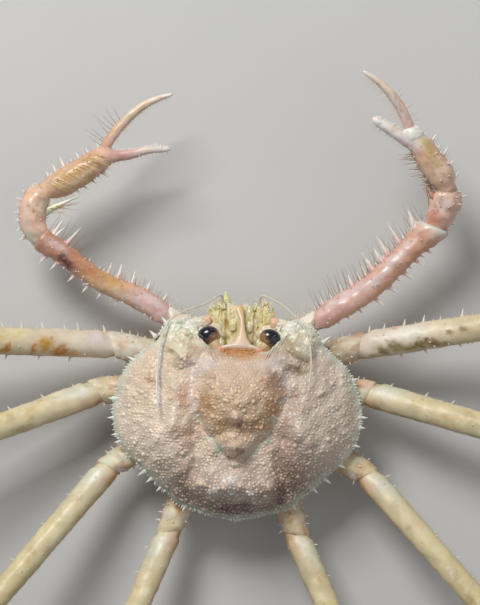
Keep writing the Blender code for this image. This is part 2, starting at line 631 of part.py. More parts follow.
def build_eye(side, parts, carapace):
    """An eye with its stalk, and the orbit that it stands in."""
    orbit = [eye_ball("orbit", side, parts, CLEARANCE), eye_stalk(side, parts, CLEARANCE)]
    boolean(carapace, orbit, "DIFFERENCE")
    eye = eye_ball("eye_" + side, side, parts)
    boolean(eye, [eye_stalk(side, parts)], "UNION")
    return eye


def piece_line(start, end, radius_start, radius_end):
    """A straight limb piece that narrows a little at both of its joints."""
    start = np.array(start)
    end = np.array(end)
    length = np.linalg.norm(end - start)
    stations = [(reach / length, factor) for reach, factor in JOINT_START]
    stations += [(0.5, 1.0)]
    stations += [(1 - reach / length, factor) for reach, factor in JOINT_END]
    line = []
    for mark, factor in stations:
        radius = (radius_start + (radius_end - radius_start) * mark) * factor
        line.append(np.array((*(start + (end - start) * mark), radius)))
    return line


def leg_joints(side, index):
    """The joints of a walking leg from its first free joint to its tip on the floor."""
    joints = [np.array(FIRST_JOINTS[side][index + 1])]
    lengths = LEG_LENGTHS[index]
    for piece, length in enumerate(lengths):
        if piece < 3:
            slope = math.radians(LEG_SLOPES[index][piece])
        else:
            slope = -math.asin((joints[-1][2] - FLOOR) / length)
        turn = math.radians(LEG_HEADINGS[side][index][piece])
        step = (math.cos(turn) * math.cos(slope), math.sin(turn) * math.cos(slope), math.sin(slope))
        joints.append(joints[-1] + np.array(step) * length)
    return joints


def dress_chain(names, lines, parts):
    """Tubes along a chain of lines, parted at the joints by flat cuts."""
    made = []
    for name, line in zip(names, lines):
        made.append(tube(name, stretched(line, OVERRUN), parts))
    for index, (before, after) in enumerate(zip(lines, lines[1:])):
        fold = (heading(before, end=True) + heading(after)).normalized()
        joint = Vector(after[0][:3])
        trim(made[index], joint - fold * GAP / 2, fold)
        trim(made[index + 1], joint + fold * GAP / 2, -fold)
    start = heading(lines[0])
    trim(made[0], Vector(lines[0][0][:3]) + start * GAP, -start)
    return made


def cut_socket(target, line, reach, parts):
    """Cuts room in a piece for the first points of a limb."""
    root = tube("socket", line[:reach], parts, CLEARANCE)
    boolean(target, [root], "DIFFERENCE")


def basis_line(side, index):
    """The short piece between the body and the first free joint."""
    root = np.array(SOCKETS[index]) * (SIDES[side], 1, 1)
    radius = BASIS_RADII[index]
    joint = np.array(FIRST_JOINTS[side][index])
    middle = root + (joint - root) * BASIS_KNEE
    if index == 0:
        middle = np.array(CLAW_BASIS_BEND) * (SIDES[side], 1, 1)
    widths = (radius, radius, radius * BASIS_END)
    return [np.array((*point, width)) for point, width in zip((root, middle, joint), widths)]


def leg_spines(line, side, rows, draw, parts):
    """Evenly spaced rows of spines on one piece of a walking leg."""
    made = []
    for angle, first, last, count, height_first, height_last, lean in rows:
        spacing = (last - first) / count
        for step in range(count):
            way = step / max(count - 1, 1)
            share = first + (last - first) * way + draw.uniform(-ROW_SCATTER, ROW_SCATTER) * spacing
            height = (height_first + (height_last - height_first) * way) * draw.uniform(*HEIGHT_RANGE)
            turned = angle + draw.uniform(-ANGLE_SCATTER, ANGLE_SCATTER)
            made.append(spine_on(line, side, turned, share, height, lean, parts))
    return made


def build_leg(side, index, parts, thorax):
    """A walking leg: basis, merus, carpus, propodus and dactylus."""
    joints = leg_joints(side, index)
    lines = [basis_line(side, index + 1)]
    for start, end, radii in zip(joints, joints[1:], LEG_RADII[index]):
        lines.append(piece_line(start, end, *radii))
    stem = f"leg{index + 1}_{side}_"
    names = [stem + piece for piece in ("basis", *LEG_PIECES)]
    made = dress_chain(names, lines, parts)
    if index > 0:
        for piece, line in zip(made[3:], lines[3:]):
            along = heading(line)
            flatten(piece, line[0][:3], (along.y, -along.x, 0.0), BLADE_FLATNESS)
    trim(made[-1], (0.0, 0.0, FLOOR), (0.0, 0.0, -1.0))
    draw = random.Random(f"{side} {index}")
    for piece, line, kind in zip(made[1:], lines[1:], LEG_PIECES):
        rows = LEG_SPINES[index].get(kind)
        if rows:
            boolean(piece, leg_spines(line, side, rows, draw, parts), "UNION")
    cut_socket(thorax, lines[0], 2, parts)
    return made


def build_claw_leg(side, parts, thorax):
    """A claw leg: basis, merus, carpus, palm with its fixed finger, and the free finger."""
    sizes = CLAW_PIECES[side]
    lines = [basis_line(side, 0)] + [spline(sizes[piece], 2) for piece in CLAW_ORDER]
    stem = f"cheliped_{side}_"
    names = [stem + piece for piece in ("basis", *CLAW_ORDER)]
    made = dress_chain(names, lines, parts)
    tip = Vector(lines[-1][-1][:3])
    trim(made[-1], tip, heading(lines[-1], end=True))
    finger_line = spline(sizes["finger"], 2)
    finger = tube(stem + "finger", finger_line, parts)
    start = heading(finger_line)
    trim(finger, Vector(finger_line[0][:3]) + start * GAP, -start)
    for piece, line, kind in zip(made[1:], lines[1:], CLAW_ORDER):
        spines = []
        for angle, row in CLAW_SPINES[side][kind]:
            for share, height in row:
                spines.append(spine_on(line, side, angle, share, height, CLAW_LEAN, parts))
        boolean(piece, spines, "UNION")
    cut_socket(made[-1], finger_line, 4, parts)
    cut_socket(thorax, lines[0], 2, parts)
    return [*made, finger]


def build_mouth(side, parts):
    """One outer mouthpart and one feeler."""
    mirror = np.array((SIDES[side], 1, 1, 1))
    line = [point * mirror for point in spline(MAXILLIPED_LINE, 2)]
    jaw = tube("maxilliped_" + side, line, parts)
    flatten(jaw, MAXILLIPED_LINE[1][:3], (0.0, 0.0, 1.0), MAXILLIPED_FLATNESS)
    trim(jaw, (0.0, MOUTH_FRONT + GAP, 0.0), (0.0, -1.0, 0.0))
    spines = []
    for root, tip, radius in MOUTH_SPINES:
        spines.append(spine(mirror[:3] * root, mirror[:3] * tip, radius, parts))
    if side == "left":
        spines.append(spine(*LEAF_LOBE, parts))
    boolean(jaw, spines, "UNION")
    peduncle = [np.array(point) * mirror for point in PEDUNCLE_LINE]
    feeler = tube("antenna_" + side, spline([*peduncle, *FLAGELLUM_LINES[side]], 3), parts)
    trim(feeler, (0.0, MOUTH_FRONT + GAP, 0.0), (0.0, -1.0, 0.0))
    return jaw, feeler


def paint(pieces, material):
    """Gives the pieces one material and smooth shading."""
    for piece in pieces:
        piece.data.materials.clear()
        piece.data.materials.append(material)
        piece.data.shade_smooth()
        piece.data.set_sharp_from_angle(angle=math.radians(50))


def centre_on_origin(pieces):
    """Moves the crab so that the middle of its box is over the origin."""
    corners = [vert.co for piece in pieces for vert in piece.data.vertices]
    middle_x = (min(co.x for co in corners) + max(co.x for co in corners)) / 2
    middle_y = (min(co.y for co in corners) + max(co.y for co in corners)) / 2
    for piece in pieces:
        piece.location = (-middle_x, -middle_y, 0.0)


def build():
    """The whole crab."""
    for old in list(bpy.data.objects):
        bpy.data.objects.remove(old)
    parts = new_collection("platymaia")
    materials = new_materials()
    carapace = build_carapace(parts)
    dress_carapace(carapace, parts)
    thorax = build_thorax(parts)
    pleon = build_pleon(parts)
    paint([pleon], materials["underside"])
    for side in SIDES:
        paint([build_eye(side, parts, carapace)], materials["eye"])
        jaw, feeler = build_mouth(side, parts)
        paint([jaw], materials["mouth"])
        paint([feeler], materials["feeler"])
        paint(build_claw_leg(side, parts, thorax), materials["claw"])
        for index in range(4):
            paint(build_leg(side, index, parts, thorax), materials["leg"])
    paint([carapace], materials["shell"])
    paint([thorax], materials["underside"])
    centre_on_origin(list(parts.objects))


build()
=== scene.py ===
"""Looks of the life-size spider crab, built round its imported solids.

Places are in millimetres in the crab's own frame, from the middle of the carapace and the floor:
+X to its right, +Y forward, +Z up. ORIGIN moves them to where the solids stand. Round a limb
piece, 0 degrees is its front or inner margin, 90 its top and 180 its rear or outer margin.
"""
import math
import random

import bmesh
import bpy
import numpy as np
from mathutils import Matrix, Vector
from mathutils.kdtree import KDTree


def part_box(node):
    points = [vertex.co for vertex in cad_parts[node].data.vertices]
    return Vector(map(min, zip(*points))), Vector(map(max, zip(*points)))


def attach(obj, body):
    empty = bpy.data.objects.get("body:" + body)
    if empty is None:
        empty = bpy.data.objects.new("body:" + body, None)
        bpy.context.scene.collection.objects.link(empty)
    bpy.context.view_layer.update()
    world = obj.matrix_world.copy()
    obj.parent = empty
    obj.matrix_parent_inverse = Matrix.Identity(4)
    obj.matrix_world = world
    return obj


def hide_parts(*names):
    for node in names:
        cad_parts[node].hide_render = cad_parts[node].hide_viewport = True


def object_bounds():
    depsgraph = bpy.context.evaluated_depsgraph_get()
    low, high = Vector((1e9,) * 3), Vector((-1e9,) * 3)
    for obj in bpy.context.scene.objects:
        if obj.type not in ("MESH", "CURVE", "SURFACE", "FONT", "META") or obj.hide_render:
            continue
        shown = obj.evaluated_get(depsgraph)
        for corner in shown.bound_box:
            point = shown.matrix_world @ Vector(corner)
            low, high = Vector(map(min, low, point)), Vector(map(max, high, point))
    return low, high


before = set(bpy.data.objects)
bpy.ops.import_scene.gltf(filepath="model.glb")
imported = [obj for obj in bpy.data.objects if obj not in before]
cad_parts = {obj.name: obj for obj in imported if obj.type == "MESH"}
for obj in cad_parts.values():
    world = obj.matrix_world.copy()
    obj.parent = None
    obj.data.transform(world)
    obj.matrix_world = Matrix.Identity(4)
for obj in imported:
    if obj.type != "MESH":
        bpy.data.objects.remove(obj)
cad_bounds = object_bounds()

MM = 0.001
BROW_TIP_Y = 33.5             # where the solid shell reaches, in the crab's own frame
SHELL_RIGHT_X = 39.7
SHELL_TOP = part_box("carapace")[1]
ORIGIN = np.array((SHELL_TOP.x - SHELL_RIGHT_X * MM, SHELL_TOP.y - BROW_TIP_Y * MM, 0.0))
SIDES = {"left": -1, "right": 1}


def linear(colour):
    """A colour of a table, 0 to 255 as the eye sees it, in the linear values that shaders take."""
    if isinstance(colour, tuple):
        shares = np.array(colour) / 255
        colour = np.where(shares <= 0.04045, shares / 12.92, ((shares + 0.055) / 1.055) ** 2.4)
    return colour


# Colours of the shell
PEACH = (246, 229, 210)
MAUVE = (219, 202, 186)
PEARL = (246, 220, 196)
ORANGE_BROWN = (176, 112, 58)
PALE_GREEN = (212, 222, 204)
PINK_CREAM = (226, 196, 178)
LILAC_WHITE = (226, 212, 212)
CREAM_WHITE = (228, 216, 188)
HORN_RED = (224, 156, 126)
# Colours of the limbs
PEACH_PINK = (230, 190, 170)
CLAW_ORANGE = (206, 150, 110)
WINE = (92, 46, 44)
IVORY = (240, 236, 224)
LEG_CREAM = (226, 212, 182)
LEG_YELLOW = (214, 196, 144)
LEG_BROWN = (176, 138, 88)
STAIN_ORANGE = (190, 120, 12)
STAIN_OLIVE = (128, 108, 48)
MEMBRANE = (222, 222, 204)
SPINE_WHITE = (240, 238, 232)
SPINE_PINK = (228, 178, 172)
GOLD = (212, 172, 84)
HAIR_PALE = (204, 194, 166)
HAIR_BROWN = (150, 128, 92)
MOUTH_YELLOW = (228, 212, 152)
MOUTH_GREEN = (214, 210, 136)
MOUTH_LOBE = (210, 192, 128)
EYE_BLACK = (24, 27, 38)
EYE_BROWN = (164, 124, 88)
BELLY = (224, 204, 172)

# Form of the shell, as in the solids
SHELL_RIM = 20.6
SHELL_UNDERSIDE = 19.0
BACK_RISE = 11.0
DOME_POWERS = (3, 0.75)
SWELLING_FADE = 6.0
HALF_OUTLINE = (
    (0, -32), (5.5, -31.4), (11, -29.8), (17, -28), (20.3, -24.8), (23.3, -22.5), (28.8, -17.2),
    (33.8, -12.2), (37, -6.5), (38, 0.3), (37.3, 6), (35.3, 11.5), (32, 16.2), (27.6, 20.2), (25, 23.2),
    (23.4, 26.4), (20.2, 27.8), (16.8, 27.7), (13.7, 25.5), (11.6, 21.6), (9.4, 19.8), (6.5, 19.6),
    (3.2, 18.4), (0, 18.1),
)
HALF_SLOPE_OUTLINE = HALF_OUTLINE[:18] + ((12.6, 26.2), (8.6, 23.4), (4.4, 21.6), (0.0, 21.0))
SWELLINGS = (
    ((0.3, 5.5), (8.5, 9.5), 5), ((-0.3, -8.8), (4.6, 3.8), 3), ((0, -19.5), (9, 4), 2.6),
    ((21, -8), (9, 12), 3.4), ((-21, -8), (9, 12), 3.4), ((18.5, 19), (4, 5), 2.2),
    ((-18.5, 19), (4, 5), 2.2), ((10.5, -3.5), (2, 7), -1.8), ((-10.5, -3.5), (2, 7), -1.8),
)

# Form of the limbs, as in the solids
FIRST_JOINTS = {
    "left": (
        (-22.3, 28.8, 15), (-39.8, 19.9, 15.2), (-43.8, 5, 15.2), (-39, -18.1, 15.2), (-19.6, -37.4, 15.2),
    ),
    "right": (
        (22.8, 28.9, 15), (37.5, 22.3, 15.2), (40.6, 7.7, 15.2), (40.9, -17.5, 15.2), (19.8, -36.8, 15.2),
    ),
}
SOCKETS = (
    (12.6, 18.4, 14.2), (19.6, 16.4, 13.6), (26.4, 7.2, 13.6), (24.8, -8, 13.6), (13.2, -18.4, 13.6),
)
CLAW_BASIS_BEND = (15.2, 25.2, 14.7)
BASIS_RADII = (3.8, 4.2, 4.1, 3.9, 4)
LEG_PIECES = ("merus", "carpus", "propodus", "dactylus")
LEG_LENGTHS = ((92, 38, 78, 45), (75, 28, 55, 45), (65, 25, 50, 42), (52, 22, 42, 38))
LEG_RADII = (
    ((4.3, 4), (3.7, 3.7), (3.3, 2.4), (2, 0.7)), ((4.2, 3.6), (3.3, 3.4), (3.2, 2.5), (2.2, 0.7)),
    ((4, 3.4), (3.1, 3.2), (3, 2.4), (2.1, 0.7)), ((4, 3.2), (2.9, 3), (2.8, 2.2), (1.9, 0.7)),
)
LEG_SLOPES = ((17, -2, -17), (16, -5, -15), (16, -5, -15), (16, -5, -14))
LEG_HEADINGS = {
    "left": ((180, 176, 171, 168), (202, 206, 211, 215), (231.7, 235, 240, 244), (249, 253, 258, 261)),
    "right": ((11.7, 14, 18, 21), (-13.4, -17, -22, -26), (-46.3, -50, -55, -59), (-64, -69, -74, -77)),
}
BLADE_FLATNESS = 0.62
CLAW_PIECES = {
    "left": {
        "merus": (
            (-22.3, 28.8, 15, 3.2), (-30.8, 34.1, 16.4, 3.4), (-43.2, 39.1, 18.3, 3),
            (-55.7, 47.5, 19.8, 3.3), (-62.3, 51.5, 20.3, 3.1),
        ),
        "carpus": (
            (-62.3, 51.5, 20.3, 3.1), (-64.9, 57.4, 20.8, 4), (-63.6, 63, 21.1, 4),
            (-60.7, 65.9, 21.2, 3.2),
        ),
        "palm": (
            (-60.7, 65.9, 21.2, 3.3), (-55.5, 68.6, 21.3, 4), (-49.5, 72.5, 21.5, 4),
            (-43.8, 76.6, 21.5, 3.4), (-40.5, 77.2, 21.5, 2.2), (-35.5, 78, 21.5, 1.8),
            (-29.5, 79.6, 21.4, 1.4), (-24.2, 80, 21.2, 1), (-23.2, 80, 21.2, 0.5),
        ),
        "finger": (
            (-43.4, 79.2, 21.6, 1.9), (-41.2, 83.3, 21.9, 1.9), (-36, 89.6, 22.2, 1.7),
            (-30.1, 94.1, 22.3, 1.3), (-23.2, 96.8, 22.2, 0.6),
        ),
    },
    "right": {
        "merus": (
            (22.8, 28.9, 15, 3.3), (30, 33.7, 16.4, 3.7), (38.9, 40.1, 18, 3.7), (47.7, 49, 19.5, 3.5),
            (53.6, 55.3, 20.2, 3.7), (58.1, 59.5, 20.6, 3.3),
        ),
        "carpus": ((58.1, 59.5, 20.6, 3.3), (60.6, 66.1, 22.4, 4.4), (60.6, 71.4, 24.4, 3.4)),
        "palm": (
            (60.6, 71.4, 24.4, 3.5), (58.6, 75.2, 25.8, 4.1), (55.4, 78.8, 27, 4), (51.5, 83.6, 28.8, 3.5),
            (47.3, 85.2, 29.9, 2.4), (42.4, 87.8, 31.2, 2), (38.2, 90.2, 32.3, 1.6),
            (37.1, 90.8, 32.5, 0.9),
        ),
        "finger": (
            (49.2, 87, 29.6, 1.9), (46.4, 92.4, 31.6, 1.9), (43.2, 96.9, 33.2, 1.7),
            (38.8, 101.1, 34.5, 1.3), (33.5, 104.4, 35.5, 0.6),
        ),
    },
}

# How a limb piece narrows at its joints: distance in millimetres and share of its radius
JOINT_START = {0: 0.8, 0.5: 0.88, 1.2: 0.96, 2.6: 1.01, 5: 1}
JOINT_END = {0: 0.97, 0.4: 1.04, 1.4: 1.05, 3: 1.02, 6: 1}
FLARED_END = {0: 1.02, 0.4: 1.14, 1.4: 1.18, 3.4: 1.09, 7: 1}
RING_STEP = 0.8
LIMB_SIDES = 36


def towards(base, colour, weight):
    """Base colours moved towards a colour, by a weight for each point."""
    weight = np.clip(weight, 0.0, 1.0)[..., None]
    return linear(base) * (1 - weight) + linear(colour) * weight


def wobble(places, size, seed):
    """Smooth irregular values, about -1 to 1, that change over a size in millimetres."""
    draw = np.random.default_rng(seed)
    ways = draw.normal(size=(8, 3))
    ways *= (math.tau / size * draw.uniform(0.5, 1.4, 8) / np.linalg.norm(ways, axis=1))[:, None]
    waves = np.sin(np.asarray(places) @ ways.T + draw.uniform(0.0, math.tau, 8))
    return waves.sum(axis=-1) / 2.8


def bell(distance, width):
    """1 in the middle, falling smoothly over a width."""
    return np.exp(-(distance / width) ** 2)


def circle(count):
    """Angles evenly spaced round a circle."""
    return np.linspace(0.0, math.tau, count, endpoint=False)


def unit(ways):
    """Directions of length 1."""
    ways = np.asarray(ways, float)
    return ways / np.maximum(np.linalg.norm(ways, axis=-1, keepdims=True), 1e-9)


def spline(knots, steps):
    """Points on a smooth curve through the knots, a number of steps between each two."""
    knots = [np.array(knot, dtype=float) for knot in knots]
    ends = [knots[0] * 2 - knots[1], *knots, knots[-1] * 2 - knots[-2]]
    line = []
    for before, start, end, after in zip(ends, ends[1:], ends[2:], ends[3:]):
        for step in range(steps):
            t = step / steps
            bend = 2 * before - 5 * start + 4 * end - after
            turn = 3 * start - before - 3 * end + after
            line.append(0.5 * (2 * start + (end - before) * t + bend * t ** 2 + turn * t ** 3))
    line.append(knots[-1])
    return np.array(line)


def travelled(line):
    """How far along a line each of its points lies."""
    steps = np.linalg.norm(np.diff(line[:, :3], axis=0), axis=1)
    return np.concatenate(([0.0], np.cumsum(steps)))


def profile_at(places, profile):
    """The values of a profile at places along it."""
    return np.interp(places, list(profile), list(profile.values()))


def evenly(line, step):
    """The line again, with a point about every step of its length."""
    reached = travelled(line)
    marks = np.linspace(0.0, reached[-1], max(int(round(reached[-1] / step)) + 1, 4))
    return np.stack([np.interp(marks, reached, axis) for axis in line.T], axis=1)


OFF_AXIS = (0.31, 0.17, 0.94)  # a direction that no spine or hair has exactly


def tube(root, way, height, marks, widths, curve, sides):
    """Rings round a line that grows one way from its root, and bends ever more as it rises."""
    way = unit(way)
    centres = np.asarray(root) + way * marks[:, None] * height
    centres = centres + np.asarray(curve) * height * np.maximum(marks, 0.0)[:, None] ** 2
    side = unit(np.cross(way, OFF_AXIS))
    angles = circle(sides)[:, None]
    ring = np.cos(angles) * side + np.sin(angles) * np.cross(way, side)
    return centres[:, None, :] + ring * np.asarray(widths)[:, None, None]


class Shape:
    """Points, faces and colours gathered for one piece."""

    def __init__(self):
        self.points = []
        self.faces = []
        self.tints = []
        self.spots = []
        self.count = 0

    def add(self, points, faces, tints, spots=(0.0, 0.0)):
        """Adds points with a colour, and a place on the unwrapped skin, for each or for all."""
        self.points.append(points)
        for group in faces:
            self.faces.extend((group + self.count).tolist())
        self.tints.append(tints)
        self.spots.append(np.broadcast_to(spots, (len(points), 2)))
        self.count += len(points)

    def add_rings(self, rings, tints, spots=(0.0, 0.0)):
        """A closed skin over rings of points, each end closed by a fan."""
        rows, around = rings.shape[:2]
        index = np.arange(rows * around).reshape(rows, around)
        after = np.roll(index, -1, axis=1)
        quads = np.stack((index[:-1], after[:-1], after[1:], index[1:]), axis=-1).reshape(-1, 4)
        start = np.full(around, rows * around)
        fan_start = np.stack((after[0], index[0], start), axis=-1)
        fan_end = np.stack((index[-1], after[-1], start + 1), axis=-1)
        grids = (rings, np.broadcast_to(linear(tints), rings.shape))
        points, tints = [np.concatenate((grid.reshape(-1, 3), grid[[0, -1]].mean(axis=1))) for grid in grids]
        self.add(points, (quads, fan_start, fan_end), tints, spots)


def make_piece(name, shape, skin, slot, *nodes):
    """The object of a shape, which rides on the body and stands for its solids."""
    mesh = bpy.data.meshes.new(name)
    places = np.concatenate(shape.points) * MM + ORIGIN
    places[:, 2] = places[:, 2].clip(0.0, cad_bounds[1][2])
    mesh.from_pydata(places.tolist(), [], shape.faces)
    bm = bmesh.new()
    bm.from_mesh(mesh)
    bmesh.ops.recalc_face_normals(bm, faces=bm.faces)
    bm.to_mesh(mesh)
    bm.free()
    tints = np.concatenate(shape.tints)
    layer = mesh.color_attributes.new("tint", "FLOAT_COLOR", "POINT")
    layer.data.foreach_set("color", np.column_stack((tints, np.ones(len(tints)))).ravel())
    if skin == "setae":
        corners = np.empty(len(mesh.loops), int)
        mesh.loops.foreach_get("vertex_index", corners)
        spots = np.concatenate(shape.spots)[corners]
        mesh.uv_layers.new(name="OFBake").data.foreach_set("uv", spots.ravel())
    mesh.shade_smooth()
    mesh.materials.append(SKINS[skin])
    piece = bpy.data.objects.new(name, mesh)
    bpy.context.scene.collection.objects.link(piece)
    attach(piece, "root")
    if nodes:
        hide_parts(*nodes)


class Skin:
    """Builds a node-based material around the colours painted on the mesh."""

    def __init__(self, name):
        self.material = bpy.data.materials.new(name)
        self.material.use_nodes = True
        self.tree = self.material.node_tree
        self.shader = self.tree.nodes["Principled BSDF"]
        self.places = self.node("TexCoord").outputs["Object"]

    def fill(self, node, sockets):
        """Gives sockets of a node their numbers or colours, or links other sockets to them."""
        for name, value in sockets.items():
            if isinstance(value, bpy.types.NodeSocket):
                self.tree.links.new(value, node.inputs[name])
            else:
                node.inputs[name].default_value = (*linear(value), 1.0) if np.ndim(value) else value

    def node(self, kind, sockets=None, **settings):
        """A node with some of its sockets and settings."""
        made = self.tree.nodes.new("ShaderNode" + kind)
        for key, value in settings.items():
            setattr(made, key, value)
        self.fill(made, sockets or {})
        return made

    def noise(self, size, detail=3.0):
        """Noise whose features are about a size in millimetres."""
        sockets = {"Scale": 1.0 / (size * MM), "Detail": detail, "Roughness": 0.55, "Vector": self.places}
        return self.node("TexNoise", sockets).outputs["Fac"]

    def cells(self, size):
        """Distance to the nearest of many scattered points, a size apart in millimetres."""
        made = self.node("TexVoronoi", {"Scale": 1.0 / (size * MM), "Vector": self.places})
        return made.outputs["Distance"]

    def ranged(self, value, low, high, to_low, to_high):
        """A value moved from one range to another, and kept in it."""
        ends = {"From Min": low, "From Max": high, "To Min": to_low, "To Max": to_high}
        return self.node("MapRange", {"Value": value, **ends}).outputs["Result"]

    def mix(self, factor, first, second, blend="MIX"):
        """Two colours mixed by a factor."""
        sockets = {0: factor, 6: first, 7: second}
        return self.node("Mix", sockets, data_type="RGBA", blend_type=blend).outputs[2]

    def shade(self, colour, size, dark, light):
        """A colour made darker and lighter in patches of a size."""
        patches = self.ranged(self.noise(size), 0.3, 0.7, dark, light)
        grey = self.node("CombineColor", {0: patches, 1: patches, 2: patches}).outputs[0]
        return self.mix(1.0, colour, grey, "MULTIPLY")

    def bumps(self, layers):
        """Adds up bump layers: value, height in millimetres, strength."""
        before = {}
        for value, height, strength in layers:
            sockets = {"Distance": height * MM, "Strength": strength, "Height": value, **before}
            before = {"Normal": self.node("Bump", sockets).outputs["Normal"]}
        self.fill(self.shader, before)


SHADER_CONSTANTS = ("Coat Weight", "Coat Roughness", "Subsurface Weight", "Subsurface Scale")


def painted_skin(name, mottle, fleck, roughness, layers, constants):
    """A skin with its painted colours, broken up by mottling, small flecks and bumps."""
    skin = Skin(name)
    colour = skin.shade(skin.node("Attribute", attribute_name="tint").outputs["Color"], *mottle)
    size, fleck_colour, amount = fleck
    flecks = skin.ranged(skin.noise(size, 4.0), 0.52, 0.72, 0.0, amount)
    size, low, high = roughness
    skin.fill(skin.shader, {
        "Base Color": skin.mix(flecks, colour, fleck_colour),
        "Roughness": skin.ranged(skin.noise(size), 0.3, 0.7, low, high),
        **dict(zip(SHADER_CONSTANTS, constants)),
    })
    makers = {"noise": skin.noise, "cells": skin.cells}
    skin.bumps([(makers[kind](size), height, strength) for kind, size, height, strength in layers])
    return skin.material


# Looks of the skins: size, dark and light of the mottling; size, colour and amount of the flecks; size,
# least and most roughness; bump layers of kind, size, height and strength; the shader's constants
LOOKS = {
    "shell_skin": (
        (3.5, 0.88, 1.08), (0.9, (238, 214, 190), 0.35), (1.2, 0.3, 0.5),
        (("noise", 0.9, 0.1, 0.5), ("cells", 0.35, 0.05, 0.35)), (0.25, 0.2, 0.08, 0.001),
    ),
    "claw_skin": (
        (2.6, 0.9, 1.08), (1.1, (240, 214, 204), 0.35), (1.6, 0.26, 0.46),
        (("noise", 2.4, 0.08, 0.5), ("cells", 0.5, 0.03, 0.25), ("noise", 0.3, 0.02, 0.3)),
        (0.22, 0.22, 0.12, 0.0015),
    ),
    "leg_skin": (
        (4, 0.9, 1.05), (1.4, (236, 226, 200), 0.35), (1.8, 0.36, 0.56),
        (("noise", 2.8, 0.06, 0.45), ("cells", 0.6, 0.03, 0.25), ("noise", 0.35, 0.02, 0.3)),
        (0.1, 0.3, 0.12, 0.0015),
    ),
    "mouth_skin": (
        (1.4, 0.8, 1.1), (0.6, (238, 228, 180), 0.45), (0.8, 0.38, 0.62),
        (("noise", 0.9, 0.08, 0.5), ("noise", 0.25, 0.03, 0.4)), (0, 0.03, 0.12, 0.001),
    ),
    "belly_skin": (
        (5, 0.88, 1.06), (1.2, (238, 224, 200), 0.35), (2, 0.34, 0.52),
        (("noise", 2.5, 0.14, 0.45), ("cells", 0.7, 0.03, 0.3)), (0.2, 0.2, 0.1, 0.001),
    ),
    "eye_cornea": (
        (1.2, 0.85, 1.1), (0.5, (70, 66, 76), 0.25), (1, 0.14, 0.24), (("cells", 0.12, 0.008, 0.3),),
        (0.5, 0.07, 0, 0.05),
    ),
    "setae": (
        (1.5, 0.85, 1.1), (0.5, (238, 236, 226), 0.2), (1, 0.35, 0.5), (("noise", 0.4, 0.01, 0.2),),
        (0, 0.03, 0.1, 0.0005),
    ),
    "feeler_skin": (
        (1.8, 0.85, 1.1), (0.6, (220, 210, 190), 0.25), (1, 0.32, 0.48), (("noise", 0.5, 0.02, 0.3),),
        (0, 0.03, 0.1, 0.0005),
    ),
}
SKINS = {name: painted_skin(name, *look) for name, look in LOOKS.items()}


def polar(half):
    """Directions and distances from the middle of a closed outline, given by its right half."""
    knots = [*half, *((-x, y) for x, y in half[-2:0:-1])]
    x, y = spline([knots[-1], *knots, knots[0], knots[1]], 12)[12:-12].T
    turns = np.arctan2(y, x)
    order = np.argsort(turns)
    return turns[order], np.hypot(x, y)[order]


SLOPE = polar(HALF_SLOPE_OUTLINE)
RIM = polar(HALF_OUTLINE)


def reach_at(turns, outline):
    """How far an outline reaches from the middle, in some directions."""
    return np.interp(turns, *outline, period=math.tau)


def smooth_back(x, y):
    """Height of the back before its grooves and grains, as in the solids."""
    share = np.minimum(np.hypot(x, y) / reach_at(np.arctan2(y, x), SLOPE), 1.0)
    flat, steep = DOME_POWERS
    height = SHELL_RIM + BACK_RISE * (1 - share ** flat) ** steep
    for middle, half, rise in SWELLINGS:
        height = height + rise * spot(x, y, middle, half) * (1 - share ** SWELLING_FADE)
    return height


def from_path(x, y, path):
    """Distance of points from a line of knots in the plan."""
    best = np.full(np.shape(x), np.inf)
    for (x0, y0), (x1, y1) in zip(path, path[1:]):
        length = (x1 - x0) ** 2 + (y1 - y0) ** 2
        share = np.clip(((x - x0) * (x1 - x0) + (y - y0) * (y1 - y0)) / length, 0.0, 1.0)
        best = np.minimum(best, np.hypot(x - x0 - share * (x1 - x0), y - y0 - share * (y1 - y0)))
    return best


def spot(x, y, middle, half):
    """1 at the middle of an oval, falling off over its half widths."""
    return np.exp(-((x - middle[0]) / half[0]) ** 2 - ((y - middle[1]) / half[1]) ** 2)


# The back: the raised shield of stomach and heart, ridges, grooves, knobs and painted regions
SHIELD = (
    (-9.2, 13.3), (-10.6, 8.7), (-10.8, 3.7), (-10.5, -0.4), (-8.9, -3.6), (-5.8, -6.4), (-4.4, -9),
    (-2.5, -11.3), (0.1, -12.5), (2.9, -11.1), (4.8, -8.8), (6.6, -6.6), (9.6, -3.6), (11.4, -0.4),
    (12, 4.5), (11.6, 10.1), (9.5, 14.4), (0.3, 16.4),
)
SHIELD_RISE = 2.7
SHIELD_REAR_DROP = 1.1        # how much lower its rear stands
SHIELD_EDGE = 0.7             # how softly its edge rises
SHIELD_SINK = 0.25
NECK_GROOVE = (
    (-11.6, 0.2), (-9.9, -4.4), (-6.6, -7.4), (-5.3, -9.8), (-3.1, -12.3), (0.1, -13.6), (3.5, -12.1),
    (5.6, -9.6), (7.4, -7.4), (10.4, -4.4), (12.3, 0.2),
)
# Pale green patches in that groove: middle, half widths
GREEN_PATCHES = (
    ((-4.8, -9.3), (2.2, 2)), ((5.4, -9.6), (2.2, 1.8)), ((9.7, -6.2), (2.4, 2)),
    ((-10.8, -0.6), (1.4, 1.8)), ((11.4, -0.6), (1.2, 1.8)), ((-7.4, -6.9), (1.4, 1.2)),
)
# A translucent strip on the left of the shell
RIBBON = ((-23.4, 20.6), (-24, 14.3), (-23.6, 8), (-23.2, 1.6))
RIBBON_GREY = (226, 224, 220)
REAR_LINE = ((-0.6, -18.8), (-1, -23.4))
REAR_LINE_GREY = (200, 208, 204)
